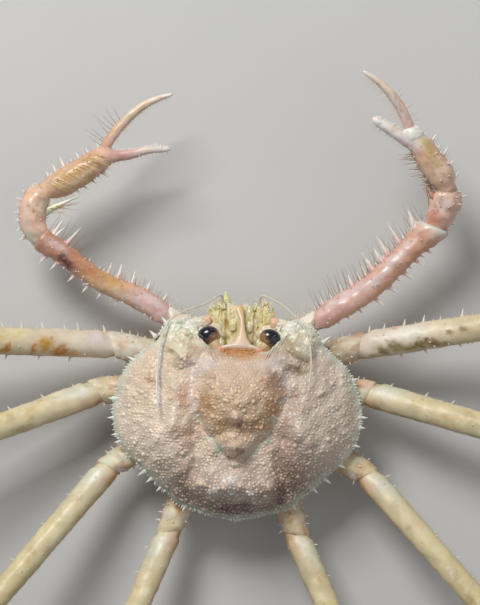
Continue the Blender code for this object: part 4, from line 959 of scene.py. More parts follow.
class Limb:
    """The rings of one limb piece, and places on its skin."""

    def __init__(self, knots, side, start=NO_JOINT, end=NO_JOINT, flat=1.0, step=RING_STEP, rough=0.03,
                 back=0.0, slants=(0.0, 0.0)):
        self.line = evenly(np.asarray(knots, float), step)
        if back:
            before = self.line[0].copy()
            before[:3] -= unit(self.line[1, :3] - self.line[0, :3]) * back
            self.line = np.concatenate((before[None], self.line))
        reached = travelled(self.line) - back
        self.length = reached[-1]
        self.shares = reached / self.length
        self.flat = flat
        left = self.length - reached
        self.radii = self.line[:, 3] * profile_at(reached, start) * profile_at(left, end)
        self.centres = self.line[:, :3]
        self.ahead = unit(np.gradient(self.centres, axis=0))
        level = np.stack((-self.ahead[:, 1], self.ahead[:, 0], np.zeros(len(self.line))), axis=1)
        self.front = unit(level) * SIDES[side]
        self.up = np.cross(self.ahead, self.front) * SIDES[side]
        self.angles = circle(LIMB_SIDES)
        cosines = np.cos(self.angles)[:, None]
        out = cosines * self.front[:, None] * flat + np.sin(self.angles)[:, None] * self.up[:, None]
        middles = self.centres[:, None]
        skin = middles + out * self.radii[:, None, None]
        coarse, fine = LUMP_SIZES
        lumps = rough * wobble(skin, coarse, 9) + rough / 2 * wobble(skin, fine, 10)
        radii = (self.radii[:, None] * (1 + lumps))[..., None]
        fades = [np.exp(-np.abs(distance) / SLANT_FADE) for distance in (reached, left)]
        slant = fades[0] * slants[0] + fades[1] * slants[1]
        self.rings = middles + out * radii + self.ahead[:, None] * slant[:, None, None] * cosines * radii
        self.rings[..., 2] = np.maximum(self.rings[..., 2], 0.0)

    def place(self, share, degrees, lift=0.0):
        """A place on the skin, and the directions outward and to the limb's tip."""
        rows = np.hstack((self.centres, self.front, self.up, self.ahead)).T
        found = np.array([np.interp(share, self.shares, axis) for axis in rows]).reshape(4, 3)
        front, up, ahead = unit(found[1:])
        cosine, sine = math.cos(math.radians(degrees)), math.sin(math.radians(degrees))
        radius = np.interp(share, self.shares, self.radii) + lift
        skin = found[0] + (front * cosine * self.flat + up * sine) * radius
        return skin, unit(front * cosine / self.flat + up * sine), ahead


BROWN_SHADED_SIDE = 228.0            # the rear underside of a limb is browner than the rest, partly its own orange-brown and partly painted shade


def coloured(limb, runs, under, marks=()):
    """Colours of a limb piece: along it, darker beneath (its browner underside with painted shade), with
    marks at places on its skin.
    """
    channels = np.transpose([linear(colour) for colour in runs.values()])
    along = np.stack([np.interp(limb.shares, list(runs), channel) for channel in channels], axis=-1)
    tints = towards(along[:, None], under, (np.cos(limb.angles - math.radians(BROWN_SHADED_SIDE)) - 0.1) / 0.8)
    tints = tints * (1 + 0.06 * wobble(limb.rings, 7.0, 13))[..., None]
    ragged = 0.55 * wobble(limb.rings, 1.8, 14)
    for reach, degrees, long, wide, colour, amount in marks:
        ahead = (limb.shares * limb.length - reach)[:, None] + ragged
        turned = np.remainder(limb.angles - math.radians(degrees) + math.pi, math.tau) - math.pi
        around = turned * limb.radii[:, None] + ragged
        tints = towards(tints, colour, np.minimum(1.7 * bell(ahead, long) * bell(around, wide), 1.0) * amount)
    return tints


def blotches(limb, draw, ranges, looks):
    """Random marks for a limb, drawn from ranges of share, degrees, half length and half width."""
    marks = []
    for colour, amount in looks:
        share, *sizes = [draw.uniform(*ends) for ends in ranges]
        marks.append((share * limb.length, *sizes, colour, amount))
    return marks


HAIR_PATCH = 0.003            # how wide a hair's patch on the unwrapped skin is
HAIR_RADIUS = 0.055
HAIR_TURN = 9.0               # degrees that hairs of a row stray round the limb
HAIR_LEAN = 8.0               # degrees that they stray in their lean
HAIR_LENGTHS = (0.6, 1.1)
HAIR_CURLS = (0.2, 1.2)
HAIR_SHADES = (0.8, 1.15)


def strand(shape, root, way, length, bend, radius, tint, spot_at):
    """One solid hair, and its patch on the unwrapped skin."""
    marks = np.linspace(-0.04, 1.0, 7)
    angles = circle(3)
    patch = np.stack((np.cos(angles), np.sin(angles)), axis=-1) * HAIR_PATCH / 2
    patches = np.asarray(spot_at) + patch * np.abs(marks)[:, None, None]
    spots = np.concatenate((patches.reshape(-1, 2), [spot_at, spot_at]))
    widths = radius * (1 - 0.75 * np.maximum(marks, 0.0))
    shape.add_rings(tube(root, way, length, marks, widths, bend, 3), tint, spots)


def leaning(out, ahead, degrees):
    """A direction that leans from straight out towards the limb's tip."""
    tilt = math.radians(degrees)
    return out * math.cos(tilt) + ahead * math.sin(tilt)


class Coat:
    """The setae of one limb, each at its root's place on the limb's unwrapped skin."""

    def __init__(self, seed, columns):
        self.shape = Shape()
        self.draw = random.Random(seed)
        self.columns = columns
        self.column = 0

    def grow(self, limb, first, last, degrees, count, length, lean, tint, radius=HAIR_RADIUS, bend=0.25,
             sweep=None):
        """A row of hairs between two shares, leaning to the tip, or all swept one way."""
        draw = self.draw
        for step in range(count):
            share = first + (last - first) * (step + draw.uniform(-0.4, 0.4)) / max(count - 1, 1)
            turned = draw.gauss(degrees, HAIR_TURN)
            root, out, ahead = limb.place(min(max(share, 0.0), 1.0), turned)
            way = leaning(out, ahead, draw.gauss(lean, HAIR_LEAN))
            curl = (ahead * bend + (0.0, 0.0, -0.12)) * draw.uniform(*HAIR_CURLS)
            if sweep:
                way = np.array(sweep)
                curl = (0.0, 0.0, -0.6 * sweep[2])
            way = way + [draw.gauss(0, 0.05) for _ in range(3)]
            across = (self.column + 0.05 + 0.9 * share) / self.columns
            size = length * draw.uniform(*HAIR_LENGTHS)
            shade = np.minimum(linear(tint) * draw.uniform(*HAIR_SHADES), 1.0)
            spot_at = (across, 0.02 + 0.96 * (turned / 360.0 % 1.0))
            strand(self.shape, root - out * 0.1, way, size, curl, radius, shade, spot_at)


def dressed_spine(shape, limb, share, degrees, height, lean, tints, stout=1.0, blunt=0.0):
    """A spine of a limb, where the solids have one."""
    root, out, ahead = limb.place(min(share, 0.99), degrees, -0.12)
    radius = min(max(height * 0.21, 0.2), 0.9) * stout
    way = leaning(out, ahead, lean)
    spike(shape, root, way, height + 0.1, radius, *tints, curve=ahead * 0.08, blunt=blunt)


def spinules(shape, limb, count, heights, tints, draw, top=(-15.0, 195.0)):
    """Small blunt spines scattered over a limb."""
    for _ in range(count):
        dressed_spine(shape, limb, draw.uniform(0.05, 0.95), draw.uniform(*top), draw.uniform(*heights),
                      draw.uniform(0, 25), tints, stout=1.5, blunt=0.3)


LIP_DEPTH = 0.9
LIP_WIDTH = 0.66


def add_limb(shape, limb, tints, lip=None):
    """The skin of a limb piece, with a lip turned in at its end where a joint follows."""
    rings = limb.rings
    if lip is not None:
        middle = limb.centres[-1]
        inner = middle + (rings[-1] - middle) * LIP_WIDTH - limb.ahead[-1] * LIP_DEPTH
        rings = np.concatenate((rings, inner[None]))
        tints = np.concatenate((tints, np.broadcast_to(linear(lip), (1, LIMB_SIDES, 3))))
    shape.add_rings(rings, tints)


def leg_joints(side, index):
    """The joints of a walking leg from its first free joint to its tip on the floor."""
    joints = [np.array(FIRST_JOINTS[side][index + 1])]
    lengths = LEG_LENGTHS[index]
    for piece, length in enumerate(lengths):
        if piece < 3:
            slope = math.radians(LEG_SLOPES[index][piece])
        else:
            slope = -math.asin(joints[-1][2] / length)
        turn = math.radians(LEG_HEADINGS[side][index][piece])
        step = (math.cos(turn) * math.cos(slope), math.sin(turn) * math.cos(slope), math.sin(slope))
        joints.append(joints[-1] + np.array(step) * length)
    return joints


def basis_knots(side, index):
    """The short piece between the body and the first free joint."""
    mirror = (SIDES[side], 1, 1)
    root = np.multiply(SOCKETS[index], mirror)
    joint = np.array(FIRST_JOINTS[side][index])
    middle = root + (joint - root) * 0.7
    if index == 0:
        middle = np.multiply(CLAW_BASIS_BEND, mirror)
    widths = BASIS_RADII[index] * np.array((1.0, 1.0, 0.86))
    return np.column_stack(((root, middle, joint), widths))


WHITE_TINTS = (SPINE_PINK, SPINE_WHITE)
LEG_TINTS = ((226, 206, 176), SPINE_WHITE)
LEG_GRAIN_TINTS = ((226, 208, 176), (234, 222, 196))
BASIS_RUNS = {0: (190, 154, 106), 0.4: (216, 190, 146), 0.75: (226, 208, 170), 1: (224, 208, 170)}
CLAW_BASIS_RUNS = {0: (214, 190, 150), 0.4: CREAM_WHITE, 1: IVORY}
FRONT_BASIS_RUNS = {
    "left": {0: (184, 148, 108), 0.35: (212, 196, 164), 0.7: (222, 216, 198), 1: (226, 214, 194)},
    "right": {0: (118, 92, 62), 0.35: (146, 122, 88), 0.6: (178, 156, 122), 1: (224, 210, 194)},
}
BASIS_SLANT = 0.65
BASIS_START = {0: 1.16, 3.4: 1.16, 4: 0.98, 4.7: 1.14, 7: 1.12, 12: 1.02}
BASIS_END = {0: 0.93, 0.4: 1, 1.4: 1.03, 3: 1.01, 6: 1}
MERUS_START = {0: 0.84, 1.4: 0.9, 2.2: 0.99, 3.4: 1.02, 6: 1}
# Blotches of the bases: colour, amount
BASIS_BLOTCHES = (
    (ORANGE_BROWN, 0.6), (PEACH_PINK, 0.6), (IVORY, 0.6), (PALE_GREEN, 0.6), (LILAC_WHITE, 0.6),
    ((196, 150, 104), 0.6),
)
BASIS_BLOTCH_RANGES = ((0.2, 0.95), (0, 180), (0.5, 2), (0.4, 1.4))
BASIS_SPINE_SHARES = (0.62, 0.74, 0.86)
# Spines of the bases at their front and rear: ranges of degrees and height
BASIS_SPINE_RANGES = (((-20, 10), (1, 1.6)), ((150, 190), (0.9, 1.4)))
# Setae of the bases: share from and to, degrees, count, length, lean, colour, radius, bend
CLAW_BASIS_HAIRS = (
    (0.45, 0.98, 20, 34, 4.6, 25, IVORY, 0.07, 0.6), (0.35, 0.98, 100, 26, 3.2, 30, IVORY, 0.07, 0.8),
)
BASIS_HAIRS = ((0.4, 0.95, 20, 14, 1.6, 25, HAIR_PALE),)
HIDDEN_END = 1.4              # how far a piece reaches back into the one before it


def build_basis(side, index, slot, name, coat):
    """The piece that joins a limb to the body."""
    draw = random.Random(f"basis {side} {index}")
    limb = Limb(basis_knots(side, index), side, BASIS_START, BASIS_END, rough=0.05, slants=(0.0, BASIS_SLANT))
    marks = blotches(limb, draw, BASIS_BLOTCH_RANGES, BASIS_BLOTCHES * 4)
    runs = {0: CLAW_BASIS_RUNS, 1: FRONT_BASIS_RUNS[side]}.get(index, BASIS_RUNS)
    shape = Shape()
    add_limb(shape, limb, coloured(limb, runs, (190, 142, 88), marks), list(runs.values())[-1])
    for share in BASIS_SPINE_SHARES:
        for angles, heights in BASIS_SPINE_RANGES:
            dressed_spine(shape, limb, share, draw.uniform(*angles), draw.uniform(*heights), 10, WHITE_TINTS)
    spinules(shape, limb, 14, (0.25, 0.6), LEG_GRAIN_TINTS, draw)
    for row in BASIS_HAIRS if index else CLAW_BASIS_HAIRS:
        coat.grow(limb, *row)
    make_piece(name + "_shell", shape, slot + "_skin", slot, name)


# Spine rows of the walking legs: angle, first and last share, count, first and last height, lean
LEG_SPINES = (
    {
        "merus": (
            (0, 0.03, 0.95, 15, 1.9, 2.4, 14), (180, 0.12, 0.94, 9, 1.8, 2.3, 14),
            (100, 0.3, 0.9, 4, 1.1, 1.3, 14),
        ),
        "carpus": ((0, 0.14, 0.88, 5, 2.4, 3.2, 22), (180, 0.14, 0.88, 5, 2.4, 3.2, 22)),
        "propodus": ((0, 0.06, 0.95, 12, 6.6, 4.2, 32), (180, 0.06, 0.95, 12, 6.6, 4.2, 32)),
        "dactylus": ((0, 0.06, 0.7, 7, 3.2, 1.8, 38), (180, 0.06, 0.7, 7, 3.2, 1.8, 38)),
    },
    {"merus": ((0, 0.08, 0.92, 7, 1.3, 1.5, 18),), "carpus": ((0, 0.7, 0.9, 2, 1.4, 1.6, 25),)},
    {"merus": ((0, 0.08, 0.92, 6, 1.3, 1.4, 18),), "carpus": ((0, 0.8, 0.8, 1, 1.4, 1.4, 25),)},
    {"merus": ((0, 0.1, 0.92, 5, 1.2, 1.3, 18),), "carpus": ((0, 0.8, 0.8, 1, 1.3, 1.3, 25),)},
)
SPINE_SHIFT = 0.25            # of the spacing, how far a spine strays from its even place
SPINE_TURN = 12.0             # degrees that it strays round the leg
SPINE_GROWTH = (0.75, 1.2)    # range of its height
SMALL_SPINE = (0.25, 0.5)     # range of the height of the small spine beside each, of the large one's
LEG_SKIN = (224, 210, 166)
LEG_BLOTCHES = (
    (LEG_BROWN, 0.4), (IVORY, 0.45), ((204, 160, 84), 0.45), (PEACH_PINK, 0.35), ((222, 198, 130), 0.5),
)
LEG_BLOTCH_RANGES = ((0.05, 0.95), (20, 190), (0.5, 2.4), (0.4, 1.3))
# Marks near the roots of the hind legs: the pale fold at the front, the rusty one behind
LEG_ROOT_MARKS = (
    (4.5, 70, 3.5, 1.4, IVORY, 0.7), (3, 115, 3, 0.8, PEACH_PINK, 0.6), (6.5, 40, 5, 1.4, PALE_GREEN, 0.55),
    (2.6, 165, 3.4, 1.8, (196, 140, 82), 0.7), (12, 172, 7, 1.2, (206, 160, 98), 0.6),
)
# Colours along the walking legs, at shares of each piece
LEG_RUNS = {
    "merus": {0: (222, 204, 164), 0.1: (226, 212, 174), 0.5: LEG_SKIN, 1: LEG_YELLOW},
    "carpus": {0: LEG_BROWN, 0.3: LEG_YELLOW, 1: LEG_BROWN},
    "propodus": {0: LEG_BROWN, 0.2: LEG_YELLOW, 0.8: LEG_CREAM, 1: LEG_BROWN},
    "dactylus": {0: LEG_BROWN, 0.2: LEG_CREAM, 0.8: (200, 170, 120), 1: (120, 84, 54)},
}
FRONT_MERUS_RUNS = {0: (226, 212, 194), 0.2: (228, 214, 190), 0.4: (222, 204, 164), 1: LEG_YELLOW}
# Stains of the front legs: distance along, degrees, half length, half width, colour, amount
FRONT_MERUS_MARKS = {
    "left": (
        (16.1, 132, 2.3, 2, STAIN_ORANGE, 1), (40, 130, 2, 1.2, (206, 160, 84), 0.7),
        (8, 160, 5, 1, PEACH_PINK, 0.6), (36, 70, 4, 1, (216, 190, 120), 0.6),
        (21.1, 95, 2, 2.2, (196, 146, 30), 0.95), (24.7, 125, 0.9, 1.7, STAIN_ORANGE, 0.9),
        (32.6, 125, 1.4, 1.4, STAIN_ORANGE, 0.9), (12, 140, 1.8, 1.2, (206, 150, 84), 0.8),
        (29.5, 60, 1, 0.9, (214, 200, 120), 0.7), (5, 70, 3, 1.6, LILAC_WHITE, 0.8),
    ),
    "right": (
        (14.8, 135, 1.6, 0.8, (166, 136, 66), 0.8), (21.4, 105, 0.8, 1, (120, 84, 40), 0.9),
        (26, 140, 1.4, 0.8, (170, 132, 76), 0.8), (4.6, 145, 1.2, 0.8, (160, 134, 84), 0.8),
        (9.6, 95, 0.6, 0.6, STAIN_OLIVE, 0.8), (7.6, 130, 1.5, 1.4, STAIN_OLIVE, 0.9),
        (11.6, 115, 2, 1.5, STAIN_OLIVE, 0.85), (18.6, 125, 2.6, 1.4, STAIN_OLIVE, 0.95),
        (23.2, 130, 1.2, 1.5, (150, 106, 58), 0.9), (28.4, 85, 0.7, 0.8, (150, 120, 66), 0.9),
        (32.6, 85, 0.8, 0.8, (160, 128, 76), 0.9), (11.4, 25, 1.3, 0.9, (224, 160, 130), 0.9),
        (15, 60, 5, 2, IVORY, 0.8),
    ),
}
POINT_END = {0: 0.3, 0.5: 0.62, 1.5: 0.86, 4: 1}
LEG_HAIR_RADIUS = 0.04
BLUNT_END = {0: 0.5, 0.4: 0.82, 1.2: 1.02, 4: 1.05, 8: 1}


def build_leg(side, index):
    """A walking leg: basis, merus, carpus, propodus and dactylus, with its setae."""
    joints = leg_joints(side, index)
    stem = f"leg{index + 1}_{side}_"
    coat = Coat(f"coat {side} {index}", 5)
    build_basis(side, index + 1, "leg", stem + "basis", coat)
    draw = random.Random(f"{side} {index}")
    loose = random.Random(f"loose {side} {index}")
    for number, (kind, start, end, radii) in enumerate(zip(LEG_PIECES, joints, joints[1:], LEG_RADII[index])):
        merus, outer, last = number == 0, number > 1, number == 3
        knots = ((*start, radii[0]), (*end, radii[1]))
        limb = Limb(knots, side, MERUS_START if merus else JOINT_START, POINT_END if last else JOINT_END,
                    flat=BLADE_FLATNESS if outer and index else 1.0, rough=0.02, back=HIDDEN_END,
                    slants=(BASIS_SLANT if merus else 0.0, 0.0))
        runs = LEG_RUNS[kind]
        if index:
            marks = blotches(limb, loose, LEG_BLOTCH_RANGES, LEG_BLOTCHES * 4)
            marks.extend(LEG_ROOT_MARKS if merus else ())
        elif merus:
            runs, marks = FRONT_MERUS_RUNS, FRONT_MERUS_MARKS[side]
        else:
            marks = ()
        shape = Shape()
        add_limb(shape, limb, coloured(limb, runs, LEG_BROWN, marks), None if last else LEG_BROWN)
        for degrees, first, final, count, low, high, lean in LEG_SPINES[index].get(kind, ()):
            spacing = (final - first) / count
            for step in range(count):
                way = step / max(count - 1, 1)
                share = first + (final - first) * way + draw.uniform(-SPINE_SHIFT, SPINE_SHIFT) * spacing
                height = (low + (high - low) * way) * draw.uniform(*SPINE_GROWTH)
                turned = degrees + draw.uniform(-SPINE_TURN, SPINE_TURN)
                dressed_spine(shape, limb, share, turned, height, lean, LEG_TINTS)
                dressed_spine(shape, limb, share + spacing * loose.uniform(0.35, 0.65),
                              turned + loose.uniform(-18, 18), height * loose.uniform(*SMALL_SPINE),
                              lean, LEG_TINTS)
        spinules(shape, limb, int(limb.length * (0.2 if index else 0.4)), (0.2, 0.45), LEG_GRAIN_TINTS, loose)
        coat.column = number + 1
        hairs = int(limb.length * (2.2 if outer else 0.9))
        coat.grow(limb, 0.03, 0.97, 0, hairs, 1.8 if outer else 1.2, 40, HAIR_PALE, LEG_HAIR_RADIUS)
        coat.grow(limb, 0.03, 0.97, 180, hairs, 1.8 if outer else 1.0, 40, HAIR_PALE, LEG_HAIR_RADIUS)
        make_piece(stem + kind + "_shell", shape, "leg_skin", "leg", stem + kind)
    make_piece(stem + "setae", coat.shape, "setae", "leg")


# Spines of the claw legs. Each row has its angle, its lean to the tip, and the height at each share
CLAW_SPINES = {
    "left": {
        "merus": (
            (
                0, 5,
                {
                    0.04: 1.6, 0.09: 2.6, 0.15: 1.5, 0.21: 3.4, 0.26: 1.6, 0.31: 4, 0.41: 4.6, 0.49: 3.6,
                    0.56: 1.1, 0.65: 1.2,
                },
            ),
            (180, 5, {0.14: 1.1, 0.24: 1.4, 0.36: 2, 0.47: 2.6, 0.56: 3.2, 0.67: 3, 0.81: 3.2, 0.9: 3.6}),
            (60, 5, {0.24: 0.9, 0.38: 1, 0.52: 0.8}), (125, 5, {0.18: 0.9, 0.34: 0.9, 0.62: 1.1}),
        ),
        "carpus": (
            (0, 10, {0.3: 1.6}),
            (180, 0, {0.12: 2.6, 0.28: 1.8, 0.38: 1.4, 0.47: 1.7, 0.56: 1.2, 0.65: 1.9, 0.76: 1.4}),
            (100, 10, {0.35: 1, 0.62: 1.2}),
        ),
        "palm": (
            (0, 10, {0.2: 1.1, 0.26: 1.5, 0.33: 1.9, 0.38: 1.3, 0.43: 2.6}),
            (180, 0, {0.06: 2, 0.13: 2.8, 0.21: 3.4, 0.28: 1.7, 0.34: 2.2, 0.42: 1.8, 0.49: 1.9}),
            (110, 10, {0.12: 1.3, 0.26: 1.1, 0.38: 1}),
        ),
    },
    "right": {
        "merus": (
            (
                0, 8,
                {
                    0.05: 1.3, 0.11: 2.4, 0.18: 1.9, 0.26: 2.6, 0.34: 3.6, 0.41: 2.8, 0.46: 3.8, 0.52: 6.4,
                    0.6: 5, 0.66: 6.8, 0.71: 2.3, 0.77: 7,
                },
            ),
            (180, 10, {0.2: 1.3, 0.29: 2.2, 0.41: 3.5, 0.52: 3.7, 0.65: 4.1, 0.76: 3.2, 0.86: 2.4}),
            (215, 10, {0.58: 2.6, 0.8: 2.8}), (100, 10, {0.3: 0.9, 0.48: 0.9, 0.68: 1}),
        ),
        "carpus": ((180, 0, {0.24: 1.7, 0.76: 1.6}), (100, 10, {0.35: 1, 0.62: 1.2})),
        "palm": (
            (0, 10, {0.1: 1.6, 0.18: 2, 0.26: 1.5, 0.33: 2.2, 0.4: 1.2}),
            (180, 15, {0.07: 1.9, 0.16: 1.9, 0.26: 3.2, 0.36: 1.6, 0.44: 2.8}),
            (110, 10, {0.12: 1.3, 0.24: 1.1, 0.36: 1.1}),
        ),
    },
}
PALE_SPINE = ((222, 228, 190), (236, 238, 220))
ROSY_SPINE = ((228, 168, 160), SPINE_WHITE)
WHITE_SPINE = ((238, 220, 212), SPINE_WHITE)
# Single spines of the claw legs: root, tip, radius, tints
LONE_SPINES = {
    "left": {
        "merus": (
            ((-54, 50, 20), (-49.5, 55.3, 21.5), 0.75, ROSY_SPINE),
            ((-58.4, 52.2, 20.4), (-55, 57.5, 21.5), 0.95, WHITE_SPINE),
            ((-57.8, 52, 20.4), (-54.4, 55.1, 21.2), 0.75, WHITE_SPINE),
        ),
        "carpus": (((-60.4, 59.9, 21), (-50.3, 64.8, 22.4), 1.15, PALE_SPINE),),
    },
    "right": {
        "merus": (
            ((52, 59.3, 20.3), (49.6, 64.4, 21.2), 1.25, WHITE_SPINE),
            ((60.4, 58.8, 20.4), (63.4, 58.6, 20.8), 0.7, WHITE_SPINE),
        ),
        "carpus": (
            ((56.2, 69.6, 24.4), (53.5, 74.4, 25), 0.5, ROSY_SPINE),
            ((55.4, 71.6, 24.6), (52.6, 75.4, 25.2), 0.4, ROSY_SPINE),
            ((64, 68.4, 22.9), (67.2, 69.4, 23.2), 0.75, WHITE_SPINE),
        ),
    },
}
# Lobes of the claw legs: middle, half sizes, colour
CLAW_LOBES = {
    ("left", "palm"): ((-42.8, 78.2, 21.6), (1.7, 2.3, 2), (228, 206, 196)),
    ("right", "carpus"): ((62, 67.6, 22.7), (3.8, 4.3, 3.6), (228, 190, 170)),
    ("right", "palm"): ((49.6, 86.4, 30.2), (3.3, 2.8, 2.4), (238, 236, 228)),
}
# Colours along the claw legs, at shares of each piece
CLAW_RUNS = {
    "left": {
        "merus": {
            0: (228, 192, 190), 0.2: (224, 180, 168), 0.42: (216, 170, 130), 0.6: (210, 158, 114),
            0.75: (194, 140, 114), 1: (200, 148, 126),
        },
        "carpus": {0: (230, 200, 178), 0.25: (236, 190, 170), 0.7: (236, 192, 164), 1: (228, 192, 158)},
        "palm": {
            0: (222, 184, 152), 0.2: (216, 172, 124), 0.42: (220, 176, 138), 0.52: (224, 180, 164),
            0.62: (210, 168, 164), 0.82: (224, 208, 198), 1: (240, 236, 230),
        },
        "finger": {
            0: (218, 166, 138), 0.35: (226, 190, 152), 0.65: (230, 212, 176), 0.9: (236, 230, 222),
            1: SPINE_WHITE,
        },
    },
    "right": {
        "merus": {
            0: (224, 176, 166), 0.3: (226, 180, 166), 0.6: (220, 170, 146), 0.9: (216, 166, 138),
            0.96: (224, 196, 180), 0.985: (222, 224, 214),
        },
        "carpus": {0: (224, 176, 158), 0.3: (228, 188, 178), 0.8: (230, 194, 172), 1: (228, 194, 164)},
        "palm": {
            0: (228, 190, 170), 0.2: (228, 194, 164), 0.44: (226, 184, 156), 0.52: (234, 218, 208),
            0.6: (234, 218, 218), 0.75: (240, 234, 232), 1: (248, 247, 244),
        },
        "finger": {
            0: (224, 180, 170), 0.25: (230, 198, 180), 0.6: (232, 216, 186), 0.9: (238, 232, 222),
            1: SPINE_WHITE,
        },
    },
}
CONDYLE = (220, 226, 204)
SOOTY = (190, 130, 92)
# Marks of the claw legs: distance along, degrees, half length, half width, colour, amount. The lilac-white
# marks along the tops are painted highlights
CLAW_MARKS = {
    "left": {
        "merus": (
            (20, 70, 3.5, 1.5, GOLD, 0.55), (24, 120, 4, 1.3, (222, 190, 146), 0.5),
            (35.2, 120, 1.9, 1.7, WINE, 0.95), (37.6, 95, 1, 1.1, WINE, 0.8),
            (33.4, 145, 0.8, 1.2, WINE, 0.7), (8, 60, 4, 1.2, LILAC_WHITE, 0.65),
            (13, 110, 5, 0.9, LILAC_WHITE, 0.5), (29, 75, 5, 1, SOOTY, 0.6),
            (41, 70, 3, 1.1, LILAC_WHITE, 0.5),
        ),
        "carpus": (
            (1.6, 165, 2.6, 3.2, CONDYLE, 1), (9, 60, 3, 1.3, (240, 216, 200), 0.5),
            (6, 110, 4, 1.1, (236, 214, 200), 0.6), (12.5, 30, 1.5, 2.2, MEMBRANE, 0.6),
        ),
        "palm": ((9, 60, 5, 1.3, IVORY, 0.35), (16, 110, 3, 2, SOOTY, 0.4), (4, 40, 3, 2, SOOTY, 0.4)),
        "finger": ((8, 60, 5, 0.5, LILAC_WHITE, 0.6),),
    },
    "right": {
        "merus": (
            (12, 50, 7, 1.1, LILAC_WHITE, 0.7), (26, 80, 8, 1, LILAC_WHITE, 0.65),
            (20, 160, 12, 1.6, (214, 168, 122), 0.8), (34, 60, 6, 1.2, LILAC_WHITE, 0.55),
            (38, 150, 4, 2, CLAW_ORANGE, 0.6), (30, 110, 1.5, 1.2, SOOTY, 0.5),
        ),
        "carpus": (
            (3, 60, 2, 2.2, (206, 128, 96), 0.75), (8, 80, 3, 1.5, LILAC_WHITE, 0.5),
            (7, 120, 2.4, 1.2, SOOTY, 0.4),
        ),
        "palm": (
            (6, 110, 1.2, 3, (236, 220, 200), 0.5), (11, 100, 4.5, 1, (206, 180, 116), 0.6),
            (15.5, 115, 2.5, 1.1, (200, 180, 110), 0.65),
        ),
        "finger": ((8, 60, 6, 0.5, LILAC_WHITE, 0.7), (10, 95, 5, 0.3, (170, 130, 110), 0.5)),
    },
}
CLAW_BLOTCHES = (
    (LILAC_WHITE, 0.35), ((206, 140, 98), 0.45), ((230, 160, 146), 0.4), (IVORY, 0.3),
    ((190, 128, 104), 0.4), ((228, 200, 164), 0.4),
)
CLAW_BLOTCH_RANGES = ((0, 1), (10, 170), (0.4, 1.8), (0.3, 1))
CLAW_UNDER = (200, 144, 108)
SPINULE_TINTS = ((224, 178, 160), (238, 208, 192))
CLAW_TINTS = {"left": ((228, 184, 168), SPINE_WHITE), "right": ((230, 174, 168), SPINE_WHITE)}
LONG_TINT = (172, 154, 112)
# Long setae: share from and to, degrees, count, length, lean, colour
CLAW_HAIRS = {
    "left": {
        "merus": (
            (0.03, 0.55, 0, 44, 3.6, 5, HAIR_PALE), (0.1, 0.5, 30, 20, 2.6, 15, HAIR_PALE),
            (0.74, 0.97, 0, 9, 8.4, -8, LONG_TINT),
        ),
        "carpus": (
            (0.56, 0.82, 5, 10, 10.5, 30, GOLD), (0.3, 0.95, 60, 10, 3.6, 50, HAIR_PALE),
            (0.2, 0.9, 170, 8, 2.2, 20, HAIR_PALE),
        ),
        "palm": (
            (0.03, 0.45, 12, 26, 2.6, 20, HAIR_BROWN), (0.05, 0.5, 170, 14, 2.6, 0, HAIR_BROWN),
            (0.5, 0.96, 0, 26, 1.4, 10, GOLD), (0.5, 0.96, 180, 14, 0.8, 20, HAIR_PALE),
        ),
        "finger": ((0.12, 0.92, 5, 34, 1.9, 10, GOLD), (0.02, 0.34, 180, 8, 7, 0, HAIR_BROWN)),
    },
    "right": {
        "merus": ((0.06, 0.98, 0, 52, 7, 12, LONG_TINT), (0.3, 0.9, 25, 18, 3.6, 20, HAIR_PALE)),
        "carpus": (
            (0.3, 0.9, 0, 16, 8.4, 62, GOLD), (0.3, 0.95, 60, 8, 3.6, 50, HAIR_PALE),
            (0.2, 0.9, 170, 6, 2, 20, HAIR_PALE),
        ),
        "palm": (
            (0.03, 0.5, 5, 34, 4.2, 25, HAIR_BROWN), (0.1, 0.45, 80, 12, 2.6, 45, HAIR_PALE),
            (0.05, 0.5, 170, 12, 2.2, 20, HAIR_BROWN), (0.5, 0.96, 0, 30, 1.8, 20, HAIR_BROWN),
        ),
        "finger": ((0.06, 0.92, 5, 44, 2.8, 15, GOLD), (0.05, 0.5, 180, 8, 3, 0, HAIR_BROWN)),
    },
}
LONG_HAIR = 3.0               # setae longer than this are thicker
LONG_HAIR_RADIUS = 0.11
# The golden setae that lie across the left palm: share from and to, degrees, count, length
SWEPT_HAIRS = (0.02, 0.46, 128, 34, 9.6)
SWEPT_WAY = (0.92, -0.24, 0.62)
SWEPT_GOLD = (246, 222, 150)
# Teeth of the fingers: degrees, share from and to
TEETH = {"palm": (180, 0.6, 0.97), "finger": (0, 0.3, 0.95)}
TEETH_COUNT = 17
TOOTH_HEIGHT = 0.42
FINGER_STARTS = {"palm": 0.45, "finger": -0.1}  # share of the knots where a finger begins
FINGER_SLIMMING = 0.17
CARPUS_START = {0: 0.92, 0.6: 1, 1.4: 1.05, 3: 1.06, 6: 1}
CUP_END = {0: 1.22, 0.4: 1.33, 1.4: 1.35, 3.6: 1.2, 8: 1}
CLAW_STARTS = {"merus": MERUS_START, "carpus": CARPUS_START, "palm": MERUS_START, "finger": JOINT_START}
CLAW_ENDS = {("left", "merus"): FLARED_END, ("right", "merus"): CUP_END}
CLAW_SLANTS = {("right", "merus"): (0.0, -0.5)}  # it reaches further along its outer side


